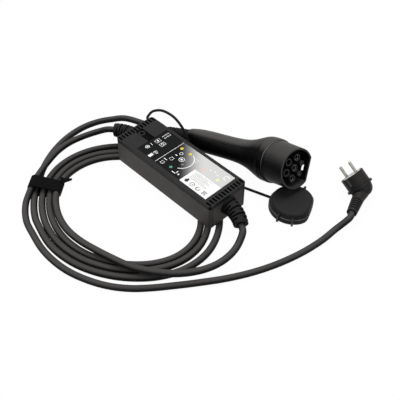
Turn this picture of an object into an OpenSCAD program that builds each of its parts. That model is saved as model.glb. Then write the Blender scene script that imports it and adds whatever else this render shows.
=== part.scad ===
// Portable charging cable for electric cars: a control box, a vehicle connector
// with its dust cap, an angled mains plug, and the cable in a coil under a strap.

/* [Control box] */
// Length of the box, from the mains end to the vehicle end
box_l = 207; // [200:1:230]
// Width of the box
box_w = 74; // [70:1:84]
// Height of the box
box_h = 45; // [42:1:60]
// Radius of the upright corners
corner_r = 5; // [4:0.5:8]
// Thickness of the housing's walls
wall_t = 2.6; // [2:0.2:3.6]
// Thickness of the housing's floor
floor_t = 3; // [2.5:0.5:5]
// Height of the top cover above the parting line
cover_h = 6; // [5.5:0.5:9]
// Height of the parting groove, which the seal fills
seam_h = 0.8; // [0.6:0.1:1.4]
// Depth of the grooves at the parting line and at the end corners
groove_d = 0.8; // [0.4:0.1:1.2]
// Width of the upright grooves at the end corners
groove_w = 1.4; // [0.8:0.1:2.5]
// Clearance between pieces that fit in each other
fit_gap = 0.2; // [0.1:0.05:0.3]

/* [Top cover] */
// Number of slots in the row across each end
vent_count = 12; // [8:1:13]
// Width of a slot
vent_w = 3.2; // [2:0.1:4]
// Length of a slot
vent_l = 9; // [6:0.5:10]
// Depth of a slot
vent_depth = 3; // [1.5:0.5:3.5]
// Distance between slots
vent_pitch = 6; // [5:0.1:6]
// Distance from the end of the box to the slots
vent_edge = 2.4; // [1.5:0.1:4]
// Length of the label
label_l = 148; // [130:1:150]
// Width of the label
label_w = 61; // [50:1:62]
// Thickness of the label
label_t = 0.8; // [0.5:0.1:1.2]
// Distance from the vehicle end of the box to the label
label_edge = 17; // [15:0.5:20]
// Height of the rims that stand above the label
rim_h = 0.6; // [0.3:0.1:1]
// Width of the hanging recess
recess_w = 13; // [12:0.5:18]
// Length of the hanging recess
recess_l = 30; // [24:1:31]
// Depth of the hanging recess
recess_depth = 3; // [2:0.5:3.5]
// Outer diameter of the hanging eyelet
eyelet_d = 9; // [8:0.5:11]
// Bore of the hanging eyelet
eyelet_bore = 5; // [4:0.5:6]
// Height of the skirt that enters the housing
skirt_h = 4; // [2:0.5:6]
// Thickness of the skirt
skirt_t = 1.6; // [1.2:0.2:2.4]

/* [Inside the box] */
// Length of the circuit board
board_l = 154; // [140:1:156]
// Width of the circuit board
board_w = 62; // [58:1:62]
// Thickness of the circuit board
board_t = 1.6; // [1:0.2:2.4]
// Height of the posts under the circuit board
post_h = 5; // [4:0.5:7]
// Diameter of the posts
post_d = 7; // [6:0.5:9]
// Diameter of the screws' shanks
screw_d = 3; // [2.5:0.1:3.2]
// Diameter of the screws' heads
screw_head_d = 5.6; // [5:0.1:6]
// Height of the screws' heads
screw_head_h = 2; // [1.5:0.1:2.4]
// Diameter of the bosses for the cover's screws
boss_d = 8; // [7.5:0.5:9]
// Depth of the cover screws' holes in the cover
pilot_depth = 3; // [2:0.5:3.5]
// Length of a relay
relay_l = 29; // [20:0.5:29]
// Width of a relay
relay_w = 13; // [10:0.5:13]
// Height of a relay
relay_h = 20; // [12:0.5:24]
// Outer diameter of the current sensor's ring
sensor_d = 25; // [20:0.5:26]
// Bore of the current sensor's ring
sensor_bore = 12; // [10:0.5:14]
// Width of the current sensor's ring
sensor_w = 11; // [8:0.5:14]
// Diameter of the capacitors
capacitor_d = 13; // [10:0.5:16]
// Height of the capacitors
capacitor_h = 20; // [15:0.5:22]
// Length of a terminal block
terminal_l = 11; // [8:0.5:14]
// Width of a terminal block
terminal_w = 32; // [26:0.5:36]
// Height of a terminal block
terminal_h = 14; // [10:0.5:18]
// Diameter of the light guides under the label
light_d = 4; // [3:0.2:5]

/* [Cable boots] */
// Length of a boot
boot_l = 36; // [30:1:45]
// Diameter of a boot's root
boot_root_d = 26; // [22:0.5:28]
// Diameter of a boot's tip
boot_tip_d = 18; // [15:0.5:20]
// Number of ribs on a boot
boot_ribs = 6; // [4:1:8]
// Depth of the grooves between the ribs
boot_groove = 1.6; // [0.8:0.1:2.2]
// Height of the boots' middle above the underside of the box
boot_h = 24; // [22:0.5:28]
// Diameter of a boot's neck in the end wall
neck_d = 15; // [12:0.5:18]

/* [Vehicle connector] */
// Diameter of the shroud at its rim
shroud_d = 63; // [62:0.5:64]
// Diameter of the shroud at the grip
shroud_root_d = 66; // [64:0.5:67]
// Distance from the middle of the shroud to its flat
shroud_flat = 25.6; // [25:0.1:27]
// Thickness of the shroud's wall
shroud_t = 2.8; // [2.4:0.1:3.2]
// Length of the shroud in front of the grip
shroud_l = 42; // [38:1:46]
// Depth of the space round the contact sleeves
socket_depth = 32; // [26:1:34]
// Distance between the three contacts of the middle row
contact_pitch = 16.2; // [15.5:0.1:17]
// Diameter of a large contact sleeve
sleeve_d = 11.4; // [10.5:0.1:11.8]
// Diameter of a small contact sleeve
pilot_sleeve_d = 8.4; // [7.5:0.1:9]
// Distance from the rim to the sleeves
sleeve_setback = 4; // [3:0.5:6]
// Outer diameter of a large contact
contact_d = 8; // [7.6:0.1:8.4]
// Bore of a large contact
contact_bore = 6; // [5.8:0.1:6.4]
// Depth of the contacts' bores
contact_depth = 24; // [18:0.5:26]
// Distance from the sleeves' mouths to the contacts
contact_setback = 2; // [1:0.5:3]
// Outer diameter of a small contact
pilot_d = 5; // [4.6:0.1:5.4]
// Bore of a small contact
pilot_bore = 3; // [2.8:0.1:3.2]
// Width of the locking window in the flat
window_w = 9; // [7:0.5:11]
// Length of the locking window along the shroud
window_l = 6; // [5:0.5:8]
// Distance from the rim to the locking window
window_setback = 9; // [8:0.5:12]
// Diameter of the grip's head
head_d = 70; // [69:0.5:73]
// Width of the handle
grip_w = 36; // [32:0.5:40]
// Depth of the handle from its front to its back
grip_h = 39; // [34:0.5:42]
// Length of the grip along its middle line
grip_l = 158; // [150:1:170]
// Angle between the shroud and the handle
grip_bend = 23.5; // [15:0.5:30]
// Length of the ribbed sleeve at the tail of the handle
tail_l = 46; // [38:1:52]
// Diameter of the ribbed sleeve at the handle
tail_root_d = 25; // [22:0.5:27]
// Diameter of the ribbed sleeve at its end
tail_tip_d = 16; // [14.5:0.5:18]
// Number of ribs on the sleeve
tail_ribs = 8; // [6:1:10]
// Thickness of the seal between shroud and grip
collar_t = 1.2; // [0.8:0.1:2]

/* [Dust cap] */
// Height of the cap
cap_h = 17.5; // [16.5:0.5:17.5]
// Diameter of the cap's closed face
cap_top_d = 63; // [60:0.5:66]
// Diameter of the cap's skirt
cap_skirt_d = 71; // [70:0.5:74]
// Height of the wide part of the skirt
cap_step_h = 9; // [7:0.5:11]
// Depth of the cap's inside
cap_depth = 14.5; // [10:0.5:15]
// Clearance between cap and shroud
cap_gap = 0.5; // [0.3:0.1:0.8]
// Thickness of the lugs on the skirt
lug_t = 2.4; // [1.6:0.2:3]
// How far the lugs stand out of the skirt
lug_out = 2.5; // [1.5:0.1:3]
// How far the lugs rise above the wide part of the skirt
lug_rise = 4; // [2:0.5:4.5]
// Diameter of the tether
tether_d = 4.4; // [3.6:0.2:5]
// Thickness of the ring that holds the tether on the cable
ring_t = 2.4; // [1.8:0.1:2.4]

/* [Mains plug] */
// Diameter of the plug's front
plug_d = 37; // [36:0.5:38.5]
// Length of the plug's front
plug_front = 20; // [18:0.5:22]
// Diameter of the plug's flange
flange_d = 42; // [40:0.5:43]
// Thickness of the plug's flange
flange_t = 3; // [2:0.5:4]
// Depth of the plug's back behind the flange
plug_back = 15; // [14:0.5:17]
// Diameter of the pins
pin_d = 4.8; // [4:0.1:5]
// Length of the pins in front of the plug
pin_l = 19; // [17:0.5:20]
// Distance between the pins
pin_pitch = 19; // [17:0.5:20]
// Diameter of the pins' necks inside the plug
pin_neck_d = 4; // [3:0.1:4]
// Depth of the pins' necks inside the plug
pin_root = 12; // [8:0.5:14]
// Diameter of the face that carries the pins
face_d = 30; // [28:0.5:32]
// Thickness of the face that carries the pins
face_t = 4; // [3:0.5:6]
// Width of an earth clip
clip_w = 6; // [4:0.5:8]
// Thickness of an earth clip
clip_t = 1.2; // [0.8:0.1:1.6]
// Length of an earth clip
clip_l = 14; // [10:0.5:16]
// Depth of the slot that an earth clip lies in
clip_slot = 2.4; // [2:0.1:2.8]
// Number of ribs on the plug's arm
arm_ribs = 6; // [4:1:8]
// Length of the plug's arm, from the pins' middle to the cable
arm_l = 54; // [50:0.5:60]
// Diameter of the arm at its end
arm_tip_d = 15; // [13:0.5:16]
// Angle by which the arm leans away from the pins
arm_lean = 16; // [10:1:20]

/* [Cables] */
// Diameter of the vehicle cable
ev_d = 10.6; // [9:0.1:10.6]
// Diameter of the mains cable
mains_d = 10; // [9:0.1:10]
// Clearance between the cables and what lies on them
lay_gap = 0.4; // [0.3:0.1:0.8]
// Width of the strap
strap_w = 18; // [14:0.5:22]
// Thickness of the strap
strap_t = 2; // [1.4:0.1:2]

/* [Hidden] */
$fn = 64;

// Where the box's middle lies in the frame of the whole part
place = [-23, -56, 0];
box_z = ev_d + lay_gap;
base_h = box_h - cover_h - seam_h;
cavity_l = box_l - 2 * wall_t;
cavity_w = box_w - 2 * wall_t;
cover_z = box_z + box_h - cover_h;
label_x = box_l / 2 - label_edge - label_l / 2;
label_y = 1;
panel_end = box_l / 2 - label_edge - label_l;
recess_x = panel_end - recess_l / 2;
eyelet_x = panel_end - recess_l + recess_w / 2;
over = 1;
boss_sink = 0.6;
boss_y = cavity_w / 2 - boss_d / 2 + boss_sink;
boss_at = [for (x = [-1, 1], y = [-1, 1]) [x * (board_l / 2 + boss_d), y * boss_y]];
post_at = [for (x = [-1, 1], y = [-1, 1]) [x * (board_l / 2 - post_d), y * (board_w / 2 - post_d)]];
board_z = box_z + floor_t + post_h;
board_top = board_z + board_t;
lights_at = [[-14, 19.5], [4, 19.5], [4, -19.5], [42, 10.5], [71, 10.5]];
relay_x = 18;
relay_apart = 6;
sensor_x = -6;
capacitor_at = [-44, -16];
capacitor_apart = 3;
terminal_edge = 20;
colour_dark = "#3a3938";
colour_grey = "#5a5856";
colour_metal = "#c9ccd0";

// Where the connector, the cap and the plug lie, seen from the middle of the box
connector_at = [136, 110.5, 55.6];
connector_turn = [-118.5, -20, -5.4];
cap_at = [151.5, 89.5, 0];
cap_turn = 25;
lug_angles = [-110, -75, 75];
plug_at = [204, 181, 20.7];
plug_turn = [55, -10, -83];
front_boot_turn = [0, 24, -7];
rear_boot_turn = [0, 8, 194];

// Contacts in the connector's own frame, seen from the rim with the flat on top
pilot_rise = 12.5;
lower_drop = 15;
live_spots = [[-contact_pitch, 0], [0, 0], [contact_pitch, 0]];
spare_spots = [[-contact_pitch / 2, -lower_drop], [contact_pitch / 2, -lower_drop]];
pilot_spots = [[-contact_pitch / 2, pilot_rise], [contact_pitch / 2, pilot_rise]];

// Stations along the grip: distance behind the seal, and share of the way from handle to head
grip_full = 158;
grip_shape = [[0, 0.93], [4, 0.97], [10, 1], [17, 0.98], [24, 0.88], [31, 0.7], [38, 0.5], [46, 0.31],
              [55, 0.16], [65, 0.07], [78, 0.02], [95, 0], [115, 0], [132, -0.02], [144, -0.07], [152, -0.14],
              [grip_full, -0.2]];
grip_sides = 32;
bend_start = 0;
bend_len = 26;

// Route points of the cables and the tether, seen from the middle of the box
lead_points = [[146, -16, 18.6], [156, -36, 16.8], [160, -60, 16.8], [157, -84, 16.8], [147, -108, 17.4],
               [130, -131, 18], [107, -150, 18.2], [81, -165, 18.4], [53, -174, 18.4], [24, -181, 17.6],
               [-6, -186, 16.2], [-37, -186, 14.8]];
run_points = [[-101, -199, 7], [-117, -189, 7.4], [-132, -177, 7.7], [-145, -164, 7.7], [-159, -149, 7.2],
              [-174, -132, 6.2], [-188, -111, 5.6], [-200, -86, 5.4], [-208, -58, 5.4], [-210, -29, 5.4],
              [-205, -3, 5.6], [-193, 20, 6], [-174, 40, 7.4]];
mains_points = [[-164, -26, 25], [-176, -48, 20.5], [-181, -74, 19], [-178, -99, 18.8], [-169, -123, 18.8],
                [-159, -144, 18.8], [-149, -162, 18.6], [-138, -179, 16.2], [-124, -199, 8.2], [-99, -215, 5.4],
                [-70, -223, 5.2], [-40, -229, 5.2], [-10, -230, 5.2], [20, -226, 5.2], [50, -216, 5.2],
                [77, -202, 5.2], [100, -184, 5.2], [119, -163, 5.2], [138, -138, 5.2], [158, -110, 5.2],
                [179, -78, 5.2], [197, -44, 5.2], [211, -8, 5.2], [221, 30, 5.2], [226, 66, 5.2],
                [227, 96, 6]];
tether_points = [[-133, 52, 24], [-127, 51, 38], [-116, 52, 51], [-99, 56, 59], [-78, 60, 57], [-60, 61, 47],
                 [-47, 60, 33], [-38, 59, 20], [-27, 57, 10], [-10, 55, 4], [15, 54, 2.4], [42, 56, 2.4],
                 [68, 61, 2.4], [92, 69, 2.8]];

// Shape of the coil: its turns spread out under the box and lie close together under the strap
coil_mid = [-18, -92];
coil_half = [121.5, 98];
bundle_angle = -115;
bundle_off = [-3, 7, 18, 29];
spread_off = [0, 16, 30];
strap_lift = strap_t + lay_gap;
strap_angle = -146;
first_z = 13.4;
first_drop = 0.2;
floor_z = ev_d / 2;
coil_dent = 0.06;
dent_angle = -45;
coil_steps = 20;
coil_turns = 3;

// Plain vector tools
function unit(v) = v / norm(v);
function mix(a, b, k) = a + (b - a) * k;
function ease(k) = (1 - cos(180 * k)) / 2;
function turn_x(v, a) = [v[0], v[1] * cos(a) - v[2] * sin(a), v[1] * sin(a) + v[2] * cos(a)];
function turn_y(v, a) = [v[0] * cos(a) + v[2] * sin(a), v[1], v[2] * cos(a) - v[0] * sin(a)];
function turn_z(v, a) = [v[0] * cos(a) - v[1] * sin(a), v[0] * sin(a) + v[1] * cos(a), v[2]];
function turned(v, a) = turn_z(turn_y(turn_x(v, a[0]), a[1]), a[2]);

// Point of the coil after a number of turns, with whole numbers at the strap
function coil_between(whole, half, u) =
    let (i = min(floor(u), coil_turns - 1), f = u - i)
    f < 0.5 ? mix(whole[i], half[i], ease(2 * f)) : mix(half[i], whole[i + 1], ease(2 * f - 1));
function coil_angle(u) = bundle_angle - 360 * u;
function dent(a, u) = u < 0.3 ? 1 : 1 - coil_dent * pow(max(0, cos(a - dent_angle)), 4);
function coil_z(u) =
    u < first_drop ? mix(first_z, floor_z, ease(u / first_drop))
    : u < 0.5 ? floor_z
    : floor_z + strap_lift * pow((1 + cos(coil_angle(u) - strap_angle)) / 2, 8);
function coil_off(u) = coil_between(bundle_off, spread_off, u);
function coil_flat(u) =
    let (a = coil_angle(u), off = coil_off(u), k = dent(a, u))
    [coil_mid[0] + k * (coil_half[0] + off) * cos(a), coil_mid[1] + k * (coil_half[1] + off) * sin(a)];
function coil_point(u) = let (p = coil_flat(u)) [p[0], p[1], coil_z(u)];
coil_last = coil_turns * coil_steps;
coil_path = [for (i = [0:coil_last]) coil_point(i / coil_steps)];

// Ends of the boots, the grip and the plug's arm
front_root = [box_l / 2, 0, box_z + boot_h];
rear_root = [-box_l / 2, 0, box_z + boot_h];
front_dir = turned([1, 0, 0], front_boot_turn);
rear_dir = turned([1, 0, 0], rear_boot_turn);
bend_r = bend_len / (grip_bend * PI / 180);
function spine_turn(s) = grip_bend * min(1, max(0, (s - bend_start) / bend_len));
function spine_point(s) =
    let (a = spine_turn(s), x0 = -min(s, bend_start), past = max(0, s - bend_start - bend_len))
    [x0 - bend_r * sin(a) - past * cos(a), 0, -bend_r * (1 - cos(a)) - past * sin(a)];
function spine_dir(s) = [-cos(spine_turn(s)), 0, -sin(spine_turn(s))];
function in_connector(v) = connector_at + turned(v, connector_turn);
seam_x = -shroud_l - collar_t;
tail_end = in_connector([seam_x, 0, 0] + spine_point(grip_l) + spine_dir(grip_l) * tail_l);
tail_dir = turned(spine_dir(grip_l), connector_turn);
arm_dir = turned([cos(arm_lean), 0, -sin(arm_lean)], plug_turn);
arm_root = [0, 0, -plug_back / 2];
arm_end = plug_at + turned(arm_root, plug_turn) + arm_dir * arm_l;
stub = 12;
lead_start = front_root + front_dir * boot_l;
mains_start = rear_root + rear_dir * boot_l;
ring_back = 17;
ring_mid = tail_end + tail_dir * ring_back;
ring_r = ev_d / 2 + fit_gap + ring_t;
lead_path = concat([lead_start, lead_start + front_dir * stub], lead_points, [coil_path[0]]);
lead_join = unit(coil_path[1] - lead_points[len(lead_points) - 1]);
run_path = concat([coil_path[coil_last]], run_points,
                  [for (d = [ring_back + stub, ring_back, ring_back - stub, 0]) tail_end + tail_dir * d]);
run_join = unit(run_points[0] - coil_path[coil_last - 1]);
mains_path = concat([mains_start, mains_start + rear_dir * stub], mains_points,
                    [arm_end + arm_dir * stub, arm_end]);
cap_eye_turn = 182;
cap_eye_r = cap_skirt_d / 2 + fit_gap;
function by_cap(r) = cap_at + turn_z([r, 0, tether_d / 2], cap_turn + cap_eye_turn);
ring_top = ring_mid + [0, 0, ring_r + fit_gap];
tether_path = concat([ring_top, ring_top + [0, 0, tether_d]], tether_points,
                     [by_cap(cap_eye_r + stub), by_cap(cap_eye_r)]);

// Places a sub-part that is described from the middle of the box
module placed() {
    translate(place) children();
}

module in_box(z) {
    placed() translate([0, 0, z]) children();
}

module as_connector() {
    placed() translate(connector_at) rotate(connector_turn) children();
}

module as_cap() {
    placed() translate(cap_at) rotate(cap_turn) children();
}

module as_plug() {
    placed() translate(plug_at) rotate(plug_turn) children();
}

// Rectangle with round corners
module round_rect(l, w, r) {
    square([l - 2 * r, w], center = true);
    square([l, w - 2 * r], center = true);
    for (x = [-1, 1], y = [-1, 1]) translate([x * (l / 2 - r), y * (w / 2 - r)]) circle(r);
}

// Slab with round upright corners
module slab(l, w, h, r) {
    linear_extrude(h) round_rect(l, w, r);
}

// Round outline with one flat, towards +Y
module d_outline(r, flat) {
    intersection() {
        circle(r);
        translate([-r, -r]) square([2 * r, r + flat]);
    }
}

// Tube swept along a list of points, with its first and last directions where they are given
module tube(path, d, sides, from = undef, to = undef) {
    n = len(path);
    function along(i) =
        i == 0 && !is_undef(from) ? from
        : i == n - 1 && !is_undef(to) ? to
        : unit(path[min(i + 1, n - 1)] - path[max(i - 1, 0)]);
    rings = [for (i = [0:n - 1])
        let (t = along(i),
             side = unit(cross(t, [0.001, 0, 1])),
             up = cross(side, t))
        for (k = [0:sides - 1]) path[i] + d / 2 * (side * cos(360 * k / sides) + up * sin(360 * k / sides))];
    walls = [for (i = [0:n - 2], k = [0:sides - 1])
        let (j = (k + 1) % sides)
        [i * sides + k, i * sides + j, (i + 1) * sides + j, (i + 1) * sides + k]];
    first = [for (k = [sides - 1:-1:0]) k];
    last = [for (k = [0:sides - 1]) (n - 1) * sides + k];
    polyhedron(rings, concat([first], walls, [last]), convexity = 12);
}

// Ribbed cone along +X that relieves a cable, from the root to the tip
module ribbed_cone(l, root_d, tip_d, ribs, groove) {
    step = l / ribs;
    land = 0.6;
    function r_at(x) = mix(root_d, tip_d, x / l) / 2;
    outline = concat([[0, 0]],
        [for (i = [0:ribs - 1], p = [[0, 0], [land, 0], [land, groove], [1, groove]])
            [r_at((i + p[0]) * step) - (i < ribs - 1 ? p[1] : 0), (i + p[0]) * step]],
        [[0, l]]);
    rotate([0, 90, 0]) rotate_extrude() polygon(outline);
}

module base_housing() {
    groove_y = box_w / 2 - corner_r - groove_w / 2;
    color(colour_grey) in_box(box_z) difference() {
        union() {
            difference() {
                slab(box_l, box_w, base_h, corner_r);
                translate([0, 0, floor_t]) slab(cavity_l, cavity_w, base_h, corner_r - wall_t / 2);
            }
            for (p = boss_at) translate([p[0], p[1], floor_t / 2])
                cylinder(d = boss_d, h = base_h - floor_t / 2);
            for (p = post_at) translate([p[0], p[1], floor_t / 2])
                cylinder(d = post_d, h = post_h + floor_t / 2);
        }
        for (p = boss_at) translate([p[0], p[1], -over]) {
            cylinder(d = screw_d + 2 * fit_gap, h = base_h + 2 * over);
            cylinder(d = screw_head_d + 2 * fit_gap, h = screw_head_h + over);
        }
        for (p = post_at) translate([p[0], p[1], floor_t]) cylinder(d = screw_d, h = post_h + over);
        for (x = [-1, 1]) translate([x * box_l / 2, 0, boot_h]) rotate([0, 90, 0])
            cylinder(d = neck_d + 2 * fit_gap, h = 4 * wall_t, center = true);
        for (x = [-1, 1], y = [-1, 1]) translate([x * box_l / 2, y * groove_y, floor_t + base_h / 2])
            cube([2 * groove_d, groove_w, base_h], center = true);
    }
}

module vent_row() {
    for (i = [0:vent_count - 1])
        translate([0, (i - (vent_count - 1) / 2) * vent_pitch, 0])
            cube([vent_l, vent_w, 2 * vent_depth], center = true);
}

module top_cover() {
    slot_x = box_l / 2 - vent_edge - vent_l / 2;
    skirt_l = cavity_l - 2 * fit_gap;
    skirt_w = cavity_w - 2 * fit_gap;
    skirt_r = corner_r - wall_t / 2;
    skirt_deep = skirt_h + seam_h;
    color(colour_dark) in_box(cover_z) difference() {
        union() {
            slab(box_l, box_w, cover_h, corner_r);
            translate([0, 0, -skirt_deep]) difference() {
                slab(skirt_l, skirt_w, skirt_deep, skirt_r);
                translate([0, 0, -over])
                    slab(skirt_l - 2 * skirt_t, skirt_w - 2 * skirt_t, skirt_deep + over, skirt_r - over);
                for (p = boss_at) translate([p[0], p[1], -over])
                    cylinder(d = boss_d + 2 * fit_gap, h = skirt_h + over);
            }
        }
        for (x = [-1, 1]) translate([x * slot_x, 0, cover_h]) vent_row();
        translate([label_x, label_y, cover_h])
            cube([label_l + 2 * fit_gap, label_w + 2 * fit_gap, 2 * (label_t + rim_h)], center = true);
        translate([recess_x + fit_gap, 0, cover_h])
            cube([recess_l + 2 * fit_gap, recess_w, 2 * recess_depth], center = true);
        translate([eyelet_x, 0, -over]) cylinder(d = eyelet_d + 2 * fit_gap, h = cover_h + 2 * over);
        for (p = boss_at) translate([p[0], p[1], -over]) cylinder(d = screw_d, h = pilot_depth + over);
        for (p = lights_at) translate([p[0], p[1], -over])
            cylinder(d = light_d + 2 * fit_gap, h = cover_h + 2 * over);
    }
}

module cover_seal() {
    color("#1d1d1d") in_box(cover_z - seam_h) difference() {
        slab(box_l - 2 * groove_d, box_w - 2 * groove_d, seam_h, corner_r - groove_d);
        translate([0, 0, -over]) slab(cavity_l, cavity_w, seam_h + 2 * over, corner_r - wall_t / 2);
    }
}

module label_plate() {
    color("#202225") in_box(cover_z + cover_h - label_t - rim_h)
        translate([label_x, label_y, label_t / 2]) cube([label_l, label_w, label_t], center = true);
}

module screw(l) {
    cylinder(d = screw_head_d, h = screw_head_h);
    translate([0, 0, screw_head_h / 2]) cylinder(d = screw_d - fit_gap, h = l + screw_head_h / 2);
}

module cover_screws() {
    reach = base_h + seam_h + pilot_depth - screw_head_h;
    color(colour_metal) in_box(box_z)
        for (p = boss_at) translate([p[0], p[1], 0]) screw(reach - fit_gap);
}

// Hanging eyelet: a sleeve through the recess floor, with a flange on that floor
module hanging_eyelet() {
    sleeve_h = cover_h - recess_depth;
    flange_h = recess_depth / 2;
    flange_wide = 3;
    color("#6b6966") in_box(cover_z) translate([eyelet_x, 0, 0]) difference() {
        union() {
            cylinder(d = eyelet_d, h = sleeve_h + flange_h);
            translate([0, 0, sleeve_h])
                cylinder(d = min(recess_w, eyelet_d + flange_wide) - fit_gap, h = flange_h);
        }
        translate([0, 0, -over]) cylinder(d = eyelet_bore, h = cover_h + 2 * over);
    }
}

module circuit_board() {
    color("#1f5a37") in_box(board_z) difference() {
        translate([0, 0, board_t / 2]) cube([board_l, board_w, board_t], center = true);
        for (p = post_at) translate([p[0], p[1], -over])
            cylinder(d = screw_d + 2 * fit_gap, h = board_t + 2 * over);
    }
}

module board_screws() {
    color(colour_metal) in_box(board_top) for (p = post_at) translate([p[0], p[1], screw_head_h])
        rotate([180, 0, 0]) screw(board_t + post_h / 2);
}

module relays() {
    color("#26282c") in_box(board_top) for (y = [-1, 1])
        translate([relay_x, y * (relay_w + relay_apart) / 2, relay_h / 2])
            cube([relay_l, relay_w, relay_h], center = true);
}

// Current sensor: a ring on a foot that is part of its moulding
module current_sensor() {
    foot = 2;
    color("#30405e") in_box(board_top) translate([sensor_x, 0, 0]) {
        translate([0, 0, sensor_d / 2 + foot / 2]) rotate([0, 90, 0]) difference() {
            cylinder(d = sensor_d, h = sensor_w, center = true);
            cylinder(d = sensor_bore, h = sensor_w + 2 * over, center = true);
        }
        translate([0, 0, foot]) cube([sensor_w, sensor_d / 2, 2 * foot], center = true);
    }
}

module capacitors() {
    color("#3b3f6b") in_box(board_top) for (i = [0, 1])
        translate([capacitor_at[0] + i * (capacitor_d + capacitor_apart), capacitor_at[1], 0])
            cylinder(d = capacitor_d, h = capacitor_h);
}

module terminal_blocks() {
    ways = 3;
    way_w = terminal_w / ways;
    color("#4f8a57") in_box(board_top) for (x = [-1, 1])
        translate([x * (board_l / 2 - terminal_edge), 0, terminal_h / 2]) difference() {
            cube([terminal_l, terminal_w, terminal_h], center = true);
            for (i = [0:ways - 1]) translate([x * terminal_l / 2, (i - (ways - 1) / 2) * way_w, 0])
                rotate([0, 90, 0]) cylinder(d = way_w / 2, h = terminal_l, center = true);
        }
}

module light_guides() {
    top = cover_z + cover_h - label_t - rim_h;
    color("#d8e0d8") in_box(board_top)
        for (p = lights_at) translate([p[0], p[1], 0]) cylinder(d = light_d, h = top - board_top);
}

// Boot at one end of the box, built towards +X and turned where its cable leaves
module boot(turn) {
    flange_h = 2.5;
    flange_wide = 2;
    lip_h = 2;
    lip_wide = 4;
    sunk = boot_root_d / 4;
    seat = wall_t + fit_gap;
    difference() {
        rotate(turn) translate([-sunk, 0, 0])
            ribbed_cone(boot_l + sunk, boot_root_d, boot_tip_d, boot_ribs, boot_groove);
        translate([-boot_root_d / 2, 0, 0])
            cube([boot_root_d, 2 * boot_root_d, 2 * boot_root_d], center = true);
    }
    rotate([0, 90, 0]) cylinder(d = boot_root_d + flange_wide, h = flange_h);
    translate([-seat, 0, 0]) rotate([0, 90, 0]) cylinder(d = neck_d, h = seat + flange_h);
    translate([-seat - lip_h, 0, 0]) rotate([0, 90, 0]) cylinder(d = neck_d + lip_wide, h = lip_h);
}

module front_boot() {
    color(colour_dark) placed() translate(front_root) boot(front_boot_turn);
}

module rear_boot() {
    color(colour_dark) placed() translate(rear_root) rotate(180) boot(rear_boot_turn - [0, 0, 180]);
}

// Grip: rounded sections lofted along the bent middle line of the handle
module grip() {
    head = head_d / 2;
    sections = [for (g = grip_shape)
        let (s = g[0] * grip_l / grip_full, w = mix(grip_w / 2, head, g[1]), h = mix(grip_h / 2, head, g[1]),
             p = spine_point(s), t = spine_dir(s), up = [t[2], 0, -t[0]])
        for (k = [0:grip_sides - 1])
            let (a = 360 * k / grip_sides)
            [seam_x, 0, 0] + p + [0, w * cos(a), 0] + up * h * sin(a)];
    n = len(grip_shape);
    walls = [for (i = [0:n - 2], k = [0:grip_sides - 1])
        let (j = (k + 1) % grip_sides)
        [i * grip_sides + k, (i + 1) * grip_sides + k, (i + 1) * grip_sides + j, i * grip_sides + j]];
    first = [for (k = [0:grip_sides - 1]) k];
    last = [for (k = [grip_sides - 1:-1:0]) (n - 1) * grip_sides + k];
    color(colour_dark) as_connector() polyhedron(sections, concat([first], walls, [last]), convexity = 6);
}

module collar_seal() {
    color("#8a8886") as_connector() translate([-shroud_l - collar_t, 0, 0]) rotate([0, 90, 0])
        cylinder(d = shroud_root_d - 2 * groove_d, h = collar_t);
}

// Shroud: a slightly tapered tube with one flat, closed at the back
module shroud() {
    inner_r = shroud_d / 2 - shroud_t;
    inner_flat = shroud_flat - shroud_t;
    color(colour_dark) as_connector() difference() {
        rotate([0, -90, 0]) cylinder(d1 = shroud_d, d2 = shroud_root_d, h = shroud_l);
        translate([-shroud_l / 2, 0, shroud_flat + shroud_d / 2])
            cube([2 * shroud_l, 2 * shroud_d, shroud_d], center = true);
        translate([-socket_depth, 0, 0]) rotate([90, 0, 90])
            linear_extrude(shroud_l) d_outline(inner_r, inner_flat);
        translate([-window_setback - window_l / 2, 0, shroud_flat])
            cube([window_l, window_w, 4 * shroud_t], center = true);
        for (p = live_spots) translate([-shroud_l - over, p[0], p[1]])
            rotate([0, 90, 0]) cylinder(d = contact_d + 2 * fit_gap, h = shroud_l);
        for (p = pilot_spots) translate([-shroud_l - over, p[0], p[1]])
            rotate([0, 90, 0]) cylinder(d = pilot_d + 2 * fit_gap, h = shroud_l);
    }
}

// Contact carrier: a plate in the bottom of the shroud with a sleeve for each contact
module contact_carrier() {
    plate_t = 5;
    reach = socket_depth - sleeve_setback;
    color("#2b2a2a") as_connector() translate([-socket_depth, 0, 0]) difference() {
        union() {
            rotate([90, 0, 90]) linear_extrude(plate_t)
                d_outline(shroud_d / 2 - shroud_t - fit_gap, shroud_flat - shroud_t - fit_gap);
            for (p = concat(live_spots, spare_spots)) translate([0, p[0], p[1]])
                rotate([0, 90, 0]) cylinder(d = sleeve_d, h = reach);
            for (p = pilot_spots) translate([0, p[0], p[1]])
                rotate([0, 90, 0]) cylinder(d = pilot_sleeve_d, h = reach);
        }
        for (p = concat(live_spots, spare_spots)) translate([-over, p[0], p[1]])
            rotate([0, 90, 0]) cylinder(d = contact_d + 2 * fit_gap, h = reach + 2 * over);
        for (p = pilot_spots) translate([-over, p[0], p[1]])
            rotate([0, 90, 0]) cylinder(d = pilot_d + 2 * fit_gap, h = reach + 2 * over);
    }
}

// Socket contact along +X with a blind bore, from the back of the shroud to near the sleeve's mouth
module socket_contact(d, bore) {
    l = shroud_l - sleeve_setback - contact_setback;
    translate([-shroud_l, 0, 0]) rotate([0, 90, 0]) difference() {
        cylinder(d = d, h = l);
        translate([0, 0, l - contact_depth]) cylinder(d = bore, h = contact_depth + over);
    }
}

module power_contacts() {
    color(colour_metal) as_connector()
        for (p = live_spots) translate([0, p[0], p[1]]) socket_contact(contact_d, contact_bore);
}

module pilot_contacts() {
    color(colour_metal) as_connector()
        for (p = pilot_spots) translate([0, p[0], p[1]]) socket_contact(pilot_d, pilot_bore);
}

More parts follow.
